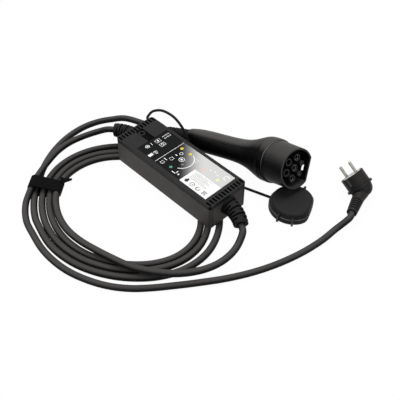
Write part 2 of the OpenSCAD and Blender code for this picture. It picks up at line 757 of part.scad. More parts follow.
module grip_tail() {
    color(colour_dark) as_connector() translate([seam_x, 0, 0] + spine_point(grip_l))
        rotate([0, 180 - grip_bend, 0]) ribbed_cone(tail_l, tail_root_d, tail_tip_d, tail_ribs, boot_groove);
}

// Dust cap: a stepped cup with one flat, lying on its open side, with lugs on its skirt
module dust_cap() {
    skirt_r = cap_skirt_d / 2;
    top_r = cap_top_d / 2;
    inner_r = shroud_d / 2 + cap_gap;
    inner_flat = shroud_flat + cap_gap;
    outer_flat = inner_flat + skirt_r - inner_r;
    edge = 2.5;
    ledge = (skirt_r - top_r) / 3;
    outline = [[0, 0], [skirt_r, 0], [skirt_r, cap_step_h], [skirt_r - ledge, cap_step_h],
               [top_r, cap_h - edge], [top_r - edge, cap_h], [0, cap_h]];
    color("#454443") as_cap() difference() {
        union() {
            difference() {
                rotate_extrude() polygon(outline);
                translate([outer_flat + skirt_r / 2, 0, cap_h / 2])
                    cube([skirt_r, 2 * skirt_r, cap_h + 2 * over], center = true);
            }
            for (a = lug_angles) rotate(a) translate([inner_r, -lug_t / 2, 0])
                cube([skirt_r - inner_r + lug_out, lug_t, cap_step_h + lug_rise]);
        }
        translate([0, 0, -over]) linear_extrude(cap_depth + over) rotate(-90) d_outline(inner_r, inner_flat);
    }
}

module cap_tether() {
    color("#2c2b2b") placed() tube(tether_path, tether_d, 8);
}

module tether_ring() {
    color("#2c2b2b") placed() translate(ring_mid)
        rotate([0, 0, atan2(tail_dir[1], tail_dir[0])])
            rotate([0, 90 - asin(tail_dir[2]), 0]) difference() {
                cylinder(r = ring_r, h = tether_d, center = true);
                cylinder(d = ev_d + 2 * fit_gap, h = tether_d + 2 * over, center = true);
            }
}

// Plug: front and flange are turned, the back is domed, and the ribbed arm leaves sideways
module plug_body() {
    back_r = plug_d / 2 - 1;
    dome = 6;
    neck_l = arm_l / 2;
    neck_d1 = plug_back + dome;
    neck_d2 = arm_tip_d + 3;
    arm_groove = 1;
    outline = [[0, -plug_back], [back_r - dome, -plug_back], [back_r - dome / 4, -plug_back + dome / 3],
               [back_r, -plug_back + dome], [back_r, -flange_t], [flange_d / 2, -flange_t], [flange_d / 2, 0],
               [plug_d / 2, 0], [plug_d / 2, plug_front], [0, plug_front]];
    color(colour_dark) as_plug() difference() {
        union() {
            rotate_extrude() polygon(outline);
            translate(arm_root) rotate([0, arm_lean, 0]) {
                rotate([0, 90, 0]) cylinder(d1 = neck_d1, d2 = neck_d2, h = neck_l);
                translate([neck_l, 0, 0])
                    ribbed_cone(arm_l - neck_l, neck_d2, arm_tip_d, arm_ribs, arm_groove);
            }
        }
        translate([0, 0, plug_front - face_t]) cylinder(d = face_d, h = face_t + over);
        for (y = [-1, 1]) translate([0, y * pin_pitch / 2, plug_front - pin_root])
            cylinder(d = pin_neck_d, h = pin_root);
        for (x = [-1, 1]) translate([x * plug_d / 2, 0, plug_front - clip_l / 2 + over / 2])
            cube([2 * clip_slot, clip_w + 2 * fit_gap, clip_l + over], center = true);
    }
}

module plug_face() {
    color("#b9b8b6") as_plug() translate([0, 0, plug_front - face_t]) difference() {
        cylinder(d = face_d - fit_gap, h = face_t);
        for (y = [-1, 1]) translate([0, y * pin_pitch / 2, -over])
            cylinder(d = pin_neck_d + fit_gap, h = face_t + 2 * over);
    }
}

// Pins: a neck inside the plug, a plain shank and a chamfered tip
module plug_pins() {
    tip = 1.2;
    color(colour_metal) as_plug() for (y = [-1, 1]) translate([0, y * pin_pitch / 2, plug_front]) {
        translate([0, 0, -pin_root]) cylinder(d = pin_neck_d, h = pin_root);
        cylinder(d = pin_d, h = pin_l - tip);
        translate([0, 0, pin_l - tip]) cylinder(d1 = pin_d, d2 = pin_d - 2 * tip, h = tip);
    }
}

// Earth clips: flat strips on the floors of the two slots in the plug's sides
module earth_clips() {
    color(colour_metal) as_plug() for (x = [-1, 1])
        translate([x * (plug_d / 2 - clip_slot + clip_t / 2), 0, plug_front - clip_l / 2])
            cube([clip_t, clip_w, clip_l], center = true);
}

module ev_cable_lead() {
    color(colour_dark) placed() tube(lead_path, ev_d, 12, to = lead_join);
}

module ev_cable_coil() {
    color(colour_dark) placed() tube(coil_path, ev_d, 12, from = lead_join, to = run_join);
}

module ev_cable_run() {
    color(colour_dark) placed() tube(run_path, ev_d, 12, from = run_join);
}

module mains_cable() {
    color(colour_dark) placed() tube(mains_path, mains_d, 12);
}

// Strap: a flat band round the cables, with its free end lying on top
module cable_strap() {
    room = 2.5;
    round_r = 6.5;
    tail_past = 8;
    tail_back = 4;
    tail_trim = 1;
    inner_off = bundle_off[0] - ev_d / 2;
    outer_off = bundle_off[coil_turns] + ev_d / 2 + mains_d / 2;
    span = outer_off - inner_off + 2 * (strap_t + room);
    rise = 2 * strap_t + lay_gap + ev_d + mains_d + room;
    mid_off = (inner_off + outer_off) / 2;
    mid = [coil_mid[0] + (coil_half[0] + mid_off) * cos(strap_angle),
           coil_mid[1] + (coil_half[1] + mid_off) * sin(strap_angle)];
    facing = atan2(coil_half[0] * sin(strap_angle), coil_half[1] * cos(strap_angle));
    color("#1b1b1b") placed() translate([mid[0], mid[1], rise / 2]) rotate(facing) rotate([90, 0, 0]) {
        linear_extrude(strap_w, center = true) difference() {
            round_rect(span, rise, round_r);
            round_rect(span - 2 * strap_t, rise - 2 * strap_t, round_r - strap_t);
        }
        translate([-span / 2 - tail_past, rise / 2, tail_trim - strap_w / 2])
            cube([span / 2 + tail_past + tail_back, strap_t / 2, strap_w - 2 * tail_trim]);
    }
}

base_housing();
top_cover();
cover_seal();
label_plate();
cover_screws();
hanging_eyelet();
circuit_board();
board_screws();
relays();
current_sensor();
capacitors();
terminal_blocks();
light_guides();
front_boot();
rear_boot();
grip();
collar_seal();
shroud();
contact_carrier();
power_contacts();
pilot_contacts();
grip_tail();
dust_cap();
cap_tether();
tether_ring();
plug_body();
plug_face();
plug_pins();
earth_clips();
ev_cable_lead();
ev_cable_coil();
ev_cable_run();
mains_cable();
cable_strap();
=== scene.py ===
"""Portable charging cable for electric cars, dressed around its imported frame.

The frame holds the solids at their real size. This script gives each of them its
look: rounded edges, smooth mouldings, each cord on one line, signs on the label,
and a material for every surface.
"""

import logging
import math
from dataclasses import dataclass
from enum import Enum
from typing import Any, Callable, Sequence

import bmesh
import bpy
from mathutils import Euler, Matrix, Vector


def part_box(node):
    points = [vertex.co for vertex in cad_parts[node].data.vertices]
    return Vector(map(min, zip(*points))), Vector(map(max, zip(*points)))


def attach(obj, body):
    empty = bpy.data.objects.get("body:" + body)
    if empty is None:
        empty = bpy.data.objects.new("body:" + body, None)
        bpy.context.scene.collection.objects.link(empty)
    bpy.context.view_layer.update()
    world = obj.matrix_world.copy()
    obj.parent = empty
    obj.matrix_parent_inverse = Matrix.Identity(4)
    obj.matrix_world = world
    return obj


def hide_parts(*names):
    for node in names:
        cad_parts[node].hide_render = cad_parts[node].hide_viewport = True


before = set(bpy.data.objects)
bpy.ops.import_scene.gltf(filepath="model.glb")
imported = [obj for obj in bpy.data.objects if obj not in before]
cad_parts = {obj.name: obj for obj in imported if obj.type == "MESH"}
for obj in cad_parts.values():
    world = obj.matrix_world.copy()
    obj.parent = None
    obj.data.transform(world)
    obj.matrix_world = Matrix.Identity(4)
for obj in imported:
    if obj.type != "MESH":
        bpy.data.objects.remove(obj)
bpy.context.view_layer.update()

LOG = logging.getLogger("charger")
BODY = "root"
MM = 0.001

# Where the middle of the control box lies in the frame, in millimetres
PLACE = Vector((-23.0, -56.0, 0.0))

Point = tuple[float, float, float]
Ring = list[Vector]
Outline = list[tuple[float, float]]


def at(x: float, y: float, z: float) -> Vector:
    """A point given in millimetres from the middle of the box, in metres in the frame."""
    return (Vector((x, y, z)) + PLACE) * MM


def mix(a: float, b: float, share: float) -> float:
    """The value a share of the way from a to b."""
    return a + (b - a) * share


def ease(share: float) -> float:
    """A soft start and a soft end between 0 and 1."""
    return (1 - math.cos(math.pi * share)) / 2


def soft(share: float) -> float:
    """A soft step that stays at 0 before its start and at 1 after its end."""
    return ease(min(1.0, max(0.0, share)))


def turns(count: int) -> list[float]:
    """Angles of equal steps round a circle."""
    return [math.tau * k / count for k in range(count)]


def turned(degrees: Sequence[float]) -> Matrix:
    """The rotation by turns about X, Y and Z in degrees, in that order."""
    return Euler([math.radians(a) for a in degrees], "XYZ").to_matrix()


def own_frame(place: Sequence[float], turn: Sequence[float]) -> Matrix:
    """The frame of a piece that was turned about X, Y and Z and then put in place.

    Args:
        place: Where its own origin lies, in millimetres from the middle of the box.
        turn: Its turns about X, Y and Z, in degrees.

    Returns:
        The matrix from the piece's own millimetres to the frame's metres.
    """
    return Matrix.Translation(at(*place)) @ turned(turn).to_4x4() @ Matrix.Scale(MM, 4)


def linear(code: str) -> tuple[float, float, float, float]:
    """A colour written as an sRGB hex value, in linear light with full alpha."""
    parts = [int(code[i:i + 2], 16) / 255 for i in (1, 3, 5)]
    light = [c / 12.92 if c <= 0.04045 else ((c + 0.055) / 1.055) ** 2.4 for c in parts]
    return (light[0], light[1], light[2], 1.0)


def per_metre(size_mm: float) -> float:
    """The scale of a pattern whose parts have this size in millimetres."""
    return 1 / (size_mm * MM)


def feed(node: bpy.types.Node, **inputs: Any) -> None:
    """Sets or links inputs of a node.

    Args:
        node: The node.
        inputs: A value or another node's output for each input, by its name in lower case
            with underscores, or by its number after an underscore.
    """
    sockets = {s.name.lower().replace(" ", "_"): s for s in reversed(node.inputs)}
    for key, value in inputs.items():
        socket = node.inputs[int(key[1:])] if key[1:].isdigit() else sockets[key]
        if isinstance(value, bpy.types.NodeSocket):
            node.id_data.links.new(value, socket)
        else:
            socket.default_value = value


def add_node(tree: bpy.types.NodeTree, kind: str, output: int | str = 0,
             settings: dict[str, Any] | None = None, **inputs: Any) -> bpy.types.NodeSocket:
    """Adds a node to a tree.

    Args:
        tree: The tree.
        kind: The node's type without its common prefix.
        output: Number or name of the output that is wanted.
        settings: Attributes to set on it.
        inputs: Its inputs, as for feed.

    Returns:
        The output.
    """
    made = tree.nodes.new("ShaderNode" + kind)
    for key, value in (settings or {}).items():
        setattr(made, key, value)
    feed(made, **inputs)
    return made.outputs[output]


def start_material(name: str) -> tuple[bpy.types.Material, bpy.types.NodeTree, bpy.types.Node]:
    """A new material with its tree and its main shader."""
    material = bpy.data.materials.new(name)
    material.use_nodes = True
    return material, material.node_tree, material.node_tree.nodes["Principled BSDF"]


# Most values of a noise texture lie between these two
NOISE_LOW = 0.3
NOISE_HIGH = 0.7


@dataclass(frozen=True)
class Moulded:
    """A moulded plastic or rubber: an even tone with a fine eroded texture from its mould.

    Surfaces that look up are painted in a paler colour: a painted highlight for the light from above.
    """

    name: str
    colour: str
    painted_top_light: str
    roughness: float
    grit_mm: float
    grit_depth_mm: float
    specular: float = 0.5
    blotch_mm: float = 35.0
    tone: float = 0.10
    rough_play: float = 0.05
    painted_top_light_from: float = 0.1

    def make(self) -> bpy.types.Material:
        """Builds the material."""
        material, tree, shader = start_material(self.name)
        coords = add_node(tree, "TexCoord", "Object")
        slow, scuff, grit = (
            add_node(tree, "TexNoise", "Fac", vector=coords, scale=per_metre(size), detail=detail)
            for size, detail in ((self.blotch_mm, 3.0), (self.blotch_mm / 4, 5.0), (self.grit_mm, 2.0)))
        # Painted highlight: faces that look up are mixed towards the paler colour
        up = add_node(tree, "SeparateXYZ", "Z", vector=add_node(tree, "NewGeometry", "Normal"))
        rise = add_node(tree, "MapRange", 0, {"interpolation_type": "SMOOTHSTEP"}, value=up,
                        from_min=self.painted_top_light_from, from_max=1.0)
        base = add_node(tree, "Mix", 2, {"data_type": "RGBA"}, _0=rise, _6=linear(self.colour),
                        _7=linear(self.painted_top_light))
        shade = add_node(tree, "MapRange", value=slow, from_min=NOISE_LOW, from_max=NOISE_HIGH,
                         to_min=1 - self.tone, to_max=1 + self.tone)
        rough = add_node(tree, "MapRange", value=scuff, from_min=NOISE_LOW, from_max=NOISE_HIGH,
                         to_min=self.roughness - self.rough_play, to_max=self.roughness + self.rough_play)
        feed(shader, base_color=add_node(tree, "VectorMath", 0, {"operation": "SCALE"}, _0=base, scale=shade),
             roughness=rough, specular_ior_level=self.specular,
             normal=add_node(tree, "Bump", strength=1.0, distance=self.grit_depth_mm * MM, height=grit))
        return material


@dataclass(frozen=True)
class Plated:
    """A plated metal, with fine rubbed marks along one axis and a slightly uneven tone."""

    name: str
    colour: str
    roughness: float
    mark_mm: float
    stretch: Point = (1.0, 1.0, 1.0)
    dark_share: float = 0.82
    rough_play: tuple[float, float] = (-0.06, 0.08)

    def make(self) -> bpy.types.Material:
        """Builds the material."""
        material, tree, shader = start_material(self.name)
        drawn = add_node(tree, "Mapping", vector=add_node(tree, "TexCoord", "Object"), scale=self.stretch)
        marks = add_node(tree, "TexNoise", "Fac", vector=drawn, scale=per_metre(self.mark_mm), detail=4.0)
        base = linear(self.colour)
        dark = [c * self.dark_share for c in base[:3]] + [1.0]
        low, high = self.rough_play
        feed(shader, base_color=add_node(tree, "Mix", 2, {"data_type": "RGBA"}, _0=marks, _6=dark, _7=base),
             roughness=add_node(tree, "MapRange", value=marks, from_min=NOISE_LOW, from_max=NOISE_HIGH,
                                to_min=self.roughness + low, to_max=self.roughness + high),
             metallic=1.0)
        return material


@dataclass(frozen=True)
class PrintedFilm:
    """A polyester label film, printed from near black to pale grey on a slant, with a satin lacquer."""

    name: str
    dark: str
    pale: str
    middle_mm: float
    width_mm: float
    slant: float
    roughness: float
    specular: float = 0.06
    grain_mm: float = 1.2
    speck: float = 0.01
    rough_play: float = 0.04

    def make(self) -> bpy.types.Material:
        """Builds the material."""
        material, tree, shader = start_material(self.name)
        coords = add_node(tree, "TexCoord", "Object")
        lean = add_node(tree, "Math", 0, {"operation": "MULTIPLY_ADD"},
                        _0=add_node(tree, "SeparateXYZ", "Y", vector=coords), _1=self.slant,
                        _2=add_node(tree, "SeparateXYZ", "X", vector=coords))
        middle = (self.middle_mm + PLACE.x + self.slant * PLACE.y) * MM
        half = self.width_mm * MM / 2
        fade = add_node(tree, "MapRange", 0, {"interpolation_type": "SMOOTHSTEP"}, value=lean,
                        from_min=middle - half, from_max=middle + half)
        grain = add_node(tree, "TexNoise", "Fac", vector=coords, scale=per_metre(self.grain_mm), detail=2.0)
        speck = add_node(tree, "MapRange", value=grain, from_min=NOISE_LOW, from_max=NOISE_HIGH,
                         to_min=-self.speck, to_max=self.speck)
        uneven = add_node(tree, "Math", 0, {"operation": "ADD", "use_clamp": True}, _0=speck, _1=fade)
        feed(shader, base_color=add_node(tree, "Mix", 2, {"data_type": "RGBA"}, _0=uneven,
                                         _6=linear(self.dark), _7=linear(self.pale)),
             roughness=add_node(tree, "MapRange", value=grain, to_min=self.roughness - self.rough_play,
                                to_max=self.roughness + self.rough_play),
             specular_ior_level=self.specular)
        return material


@dataclass(frozen=True)
class Webbing:
    """Woven hook-and-loop tape: crossed threads with a short matted pile that takes the shine away.

    The weave is drawn coarser than real threads, which are too fine to show.
    """

    name: str
    colour: str
    thread_mm: float
    roughness: float = 0.9
    specular: float = 0.05
    weave_rate: float = 20.0
    pale_share: float = 1.5
    bump_mm: float = 0.25

    def make(self) -> bpy.types.Material:
        """Builds the material."""
        material, tree, shader = start_material(self.name)
        coords = add_node(tree, "TexCoord", "Object")
        fine = per_metre(self.thread_mm)
        across, along, upright = (
            add_node(tree, "TexWave", "Fac", {"bands_direction": axis}, vector=coords,
                     scale=fine / self.weave_rate, distortion=0.8) for axis in ("X", "Y", "Z"))
        pile = add_node(tree, "TexNoise", "Fac", vector=coords, scale=fine, detail=6.0)
        weave = add_node(tree, "Math", 0, {"operation": "MULTIPLY_ADD"}, _0=across, _1=along, _2=upright)
        height = add_node(tree, "Math", 0, {"operation": "ADD"}, _0=weave, _1=pile)
        base = linear(self.colour)
        pale = [c * self.pale_share for c in base[:3]] + [1.0]
        feed(shader, base_color=add_node(tree, "Mix", 2, {"data_type": "RGBA"}, _0=pile, _6=base, _7=pale),
             roughness=self.roughness, specular_ior_level=self.specular,
             normal=add_node(tree, "Bump", strength=0.9, distance=self.bump_mm * MM, height=height))
        return material


def screen_ink(name: str, colour: str, tone: float = 0.05) -> Moulded:
    """A screen ink on the label: thin, even and satin."""
    return Moulded("ink_" + name, colour, colour, 0.4, 0.6, 0.005, 0.2, 3.0, tone)


def one_tone(name: str, colour: str, roughness: float, grit_mm: float, grit_depth_mm: float) -> Moulded:
    """A moulding inside the box, in one colour with no painted highlight on its top."""
    return Moulded(name, colour, colour, roughness, grit_mm, grit_depth_mm)


class Look(Enum):
    """Every finish on the object, by the material that it stands for."""

    # The second colour of each moulding is its painted highlight on faces that look up
    # ABS housing with a spark-eroded mould: a dry, warm dark grey
    HOUSING = Moulded("abs_housing", "#3b3835", "#3f3c39", 0.6, 0.7, 0.05, 0.15)
    # ABS cover, a little smoother and more neutral than the housing
    COVER = Moulded("abs_cover", "#151515", "#1f1f1f", 0.5, 0.7, 0.04, 0.1)
    # Painted shade: near black for the unlit insides of the slots, the hanging recess and the boots' grooves
    SLOT = Moulded("abs_slot", "#050505", "#070707", 0.7, 0.7, 0.04, 0.03)
    # Moulded rubber of the ribbed boots: dull, with hardly any shine
    BOOT = Moulded("rubber_boot", "#0d0d0d", "#232323", 0.6, 1.1, 0.06, 0.05)
    # Extruded rubber jacket: matt dark grey, with a painted highlight in paler grey along its top
    JACKET = Moulded("rubber_jacket", "#121111", "#413f3e", 0.5, 1.4, 0.04, 0.06, 60.0, 0.08, painted_top_light_from=0.42)
    # Polyamide grip, polished in the mould: nearly black, with wide soft painted highlights where it looks up
    GRIP = Moulded("polyamide_grip", "#060606", "#4c4a48", 0.36, 0.9, 0.02, 0.03, painted_top_light_from=0.7)
    # Polyamide shroud, a little drier than the grip
    SHROUD = Moulded("polyamide_shroud", "#0b0a0a", "#403e3d", 0.42, 0.9, 0.03, 0.06, painted_top_light_from=0.45)
    # The same polyamide painted a paler, smoother grey on the front faces at the mouth: a painted highlight
    RUBBED = Moulded("polyamide_rubbed_edge", "#343332", "#4a4948", 0.36, 0.9, 0.01, 0.1, 12.0, 0.15)
    # Polyamide contact carrier: dull black, seen deep in the shroud
    CARRIER = Moulded("polyamide_carrier", "#1f1e1e", "#2b2a2a", 0.5, 0.9, 0.03, 0.2)
    # Elastomer dust cap: even dark grey with a soft matt surface
    CAP = Moulded("elastomer_cap", "#191818", "#212020", 0.62, 1.0, 0.05, 0.1)
    # The same elastomer painted paler on the lugs and on the ledge of the step: a painted highlight
    CAP_EDGE = Moulded("elastomer_rubbed_edge", "#3d3b3a", "#474544", 0.55, 1.0, 0.03, 0.12, 12.0, 0.15)
    # Elastomer tether and ring: smooth black cord
    TETHER = Moulded("elastomer_tether", "#070707", "#1d1d1d", 0.5, 1.0, 0.03, 0.08)
    # Moulded rubber of the plug: dark warm grey
    PLUG = Moulded("rubber_plug", "#0f0e0e", "#242221", 0.45, 0.9, 0.04, 0.12, painted_top_light_from=0.2)
    # Pale polycarbonate that carries the pins
    PLUG_FACE = Moulded("polycarbonate_face", "#a9a7a3", "#b9b7b3", 0.45, 0.8, 0.02)
    # Dark grey silicone seal ring between grip and shroud, painted pale along its top as a highlight
    COLLAR = Moulded("silicone_collar", "#2a2928", "#7a7876", 0.5, 0.8, 0.02, 0.15, painted_top_light_from=0.3)
    # Foam rubber seal at the parting line of the box
    SEAL = Moulded("rubber_seal", "#080808", "#0c0c0c", 0.75, 0.8, 0.04, 0.05)
    # Moulded dark eyelet
    EYELET = Moulded("acetal_eyelet", "#151414", "#1c1b1a", 0.45, 0.8, 0.03, 0.1)
    # Polyester label
    LABEL = PrintedFilm("polyester_label", "#08090a", "#c6c6c4", 27.0, 58.0, 1.0, 0.32)
    # Screen inks on the label
    INK_WHITE = screen_ink("white", "#e9e9e6", 0.03)
    INK_GREY = screen_ink("grey", "#6f7170")
    INK_DARK = screen_ink("dark", "#2d2e2e")
    INK_YELLOW = screen_ink("yellow", "#d9c23a")
    INK_GREEN = screen_ink("green", "#3f9a78")
    INK_RED = screen_ink("red", "#e3b3ab")
    INK_STRAW = screen_ink("straw", "#e6e0a4")
    # Nickel on brass, drawn pins and stamped clips
    NICKEL = Plated("nickel_plate", "#a9a69f", 0.22, 0.8, (1.0, 1.0, 0.15))
    # The same plating on the earth clips, dull from use
    DULL_NICKEL = Plated("nickel_plate_dull", "#4a4845", 0.45, 0.6)
    # Silver on copper alloy, turned contacts
    SILVER = Plated("silver_plate", "#8f8d88", 0.3, 0.7)
    # Zinc on steel, formed screws
    ZINC = Plated("zinc_steel", "#b4b8bd", 0.35, 0.9)
    # Woven nylon tape of the strap
    STRAP = Webbing("nylon_tape", "#0a0a0a", 1.1)
    # Solder mask over glass laminate
    BOARD = one_tone("solder_mask", "#1f5a37", 0.35, 1.6, 0.03)
    # Moulded and sleeved components on the board
    RELAY = one_tone("pbt_relay", "#26282c", 0.5, 0.9, 0.03)
    SENSOR = one_tone("pbt_sensor", "#30405e", 0.5, 0.9, 0.03)
    CAPACITOR = one_tone("pet_sleeve", "#3b3f6b", 0.3, 1.4, 0.02)
    TERMINAL = one_tone("polyamide_terminal", "#4f8a57", 0.5, 0.9, 0.03)
    GUIDE = one_tone("acrylic_guide", "#d8e0d8", 0.2, 1.5, 0.01)


class Palette:
    """Makes each material once and hands it out."""

    def __init__(self) -> None:
        """Starts with no material made."""
        self._made: dict[Look, bpy.types.Material] = {}

    def of(self, look: Look) -> bpy.types.Material:
        """The material of a look, made when it is first asked for."""
        if look not in self._made:
            self._made[look] = look.value.make()
        return self._made[look]


def dress(piece: bpy.types.Object, palette: Palette, look: Look) -> None:
    """Gives all of a piece one material."""
    piece.data.materials.clear()
    piece.data.materials.append(palette.of(look))


def settle(piece: bpy.types.Object, palette: Palette, look: Look, slot: str, *nodes: str) -> bpy.types.Object:
    """Dresses a new piece, fixes it to the frame and hides the solids that it stands for.

    Args:
        piece: The piece, already in place.
        palette: Where its material comes from.
        look: Its finish.
        slot: The record's material slot; not used.
        nodes: The solids that it stands for.

    Returns:
        The piece.
    """
    dress(piece, palette, look)
    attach(piece, BODY)
    if nodes:
        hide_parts(*nodes)
    LOG.info("%s: %s", piece.name, look.value.name)
    return piece


def tint_faces(piece: bpy.types.Object, material: bpy.types.Material,
               chosen: Callable[[bpy.types.MeshPolygon], bool]) -> None:
    """Gives some faces of a piece a second material.

    Args:
        piece: The piece.
        material: The second material.
        chosen: Says whether a face takes it.
    """
    piece.data.materials.append(material)
    for face in piece.data.polygons:
        if chosen(face):
            face.material_index = 1


def mesh_object(name: str, shape: bmesh.types.BMesh, sharp_deg: float = 40.0) -> bpy.types.Object:
    """Turns a built shape into an object with smooth shading up to an angle.

    Args:
        name: The object's name.
        shape: The shape, which is freed.
        sharp_deg: Edges that turn more than this stay sharp.

    Returns:
        The object, linked to the scene.
    """
    bmesh.ops.recalc_face_normals(shape, faces=shape.faces)
    mesh = bpy.data.meshes.new(name)
    shape.to_mesh(mesh)
    shape.free()
    mesh.shade_smooth()
    mesh.set_sharp_from_angle(angle=math.radians(sharp_deg))
    piece = bpy.data.objects.new(name, mesh)
    bpy.context.scene.collection.objects.link(piece)
    return piece


def soft_copy(node: str, name: str, width_mm: float) -> bpy.types.Object:
    """A copy of a solid whose sharp edges are rounded, as a mould leaves them.

    Args:
        node: The solid's name.
        name: The copy's name.
        width_mm: How far the rounding reaches from an edge.

    Returns:
        The copy.
    """
    same_point_mm = 0.002
    flat_deg = 0.4
    sharp_deg = 38.0
    shape = bmesh.new()
    shape.from_mesh(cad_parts[node].data)
    bmesh.ops.remove_doubles(shape, verts=shape.verts, dist=same_point_mm * MM)
    bmesh.ops.dissolve_limit(shape, angle_limit=math.radians(flat_deg), verts=shape.verts, edges=shape.edges)
    piece = mesh_object(name, shape)
    edge = piece.modifiers.new("rounded_edges", "BEVEL")
    edge.width = width_mm * MM
    edge.segments = 3
    edge.limit_method = "ANGLE"
    edge.angle_limit = math.radians(sharp_deg)
    edge.harden_normals = True
    return piece


def settle_copies(palette: Palette, *rows: tuple[str, str, float, Look, str]) -> list[bpy.types.Object]:
    """Puts a dressed copy with rounded edges in the place of each solid.

    Args:
        palette: Where the materials come from.
        rows: Each solid, its copy's name, the width of the roundings, the finish and the material slot.

    Returns:
        The copies.
    """
    return [settle(soft_copy(node, name, width), palette, look, slot, node)
            for node, name, width, look, slot in rows]


def add_loft(shape: bmesh.types.BMesh, rings: Sequence[Ring], close: bool = True) -> None:
    """Adds a skin over rings of points to a shape.

    Args:
        shape: The shape.
        rings: Rings with equally many points, in order.
        close: Whether the first and the last ring are filled.
    """
    rows = [[shape.verts.new(p) for p in ring] for ring in rings]
    count = len(rings[0])
    for low, high in zip(rows, rows[1:]):
        for k in range(count):
            j = (k + 1) % count
            shape.faces.new((low[k], low[j], high[j], high[k]))
    if close:
        shape.faces.new(list(reversed(rows[0])))
        shape.faces.new(rows[-1])


def lathe_rings(profile: Outline, frame_of: Matrix, sides: int = 72) -> list[Ring]:
    """Rings of a body turned about its own X axis.

    Args:
        profile: Distances along the axis with their radii, in millimetres.
        frame_of: The body's own frame.
        sides: Points round the body.

    Returns:
        One ring for each entry of the profile.
    """
    angles = turns(sides)
    return [[frame_of @ Vector((x, r * math.cos(a), r * math.sin(a))) for a in angles] for x, r in profile]


def mouth_end(length: float, tip_r: float, bore_d: float, lip: float) -> Outline:
    """The end of a ribbed sleeve, from its rim into the mouth round its cable.

    Args:
        length: The sleeve's length in millimetres.
        tip_r: Radius of the rim.
        bore_d: Diameter of the cable.
        lip: Width of the rounding of the mouth.

    Returns:
        Distances along the sleeve with their radii.
    """
    swell = 0.2
    depth = 1.0
    play = 0.1
    return [(length + swell, tip_r), (length, bore_d / 2 + lip), (length - depth, bore_d / 2 + play)]


def smooth_line(points: Sequence[Vector], steps: int) -> list[Vector]:
    """A soft line through points, by cubic pieces whose slope is that of their neighbours.

    Args:
        points: The points.
        steps: Points made for each stretch between two of them.

    Returns:
        The points of the line, with the given ones among them.
    """
    line: list[Vector] = []
    last = len(points) - 1
    for i in range(last):
        before, after = points[max(0, i - 1)], points[min(last, i + 2)]
        start, end = points[i], points[i + 1]
        for k in range(steps):
            t = k / steps
            line.append(0.5 * (2 * start + (end - before) * t
                               + (2 * before - 5 * start + 4 * end - after) * t * t
                               + (3 * start - before - 3 * end + after) * t ** 3))
    return line + [points[last]]


def line_length(points: Sequence[Vector]) -> float:
    """The length of a line in metres."""
    return sum((b - a).length for a, b in zip(points, points[1:]))


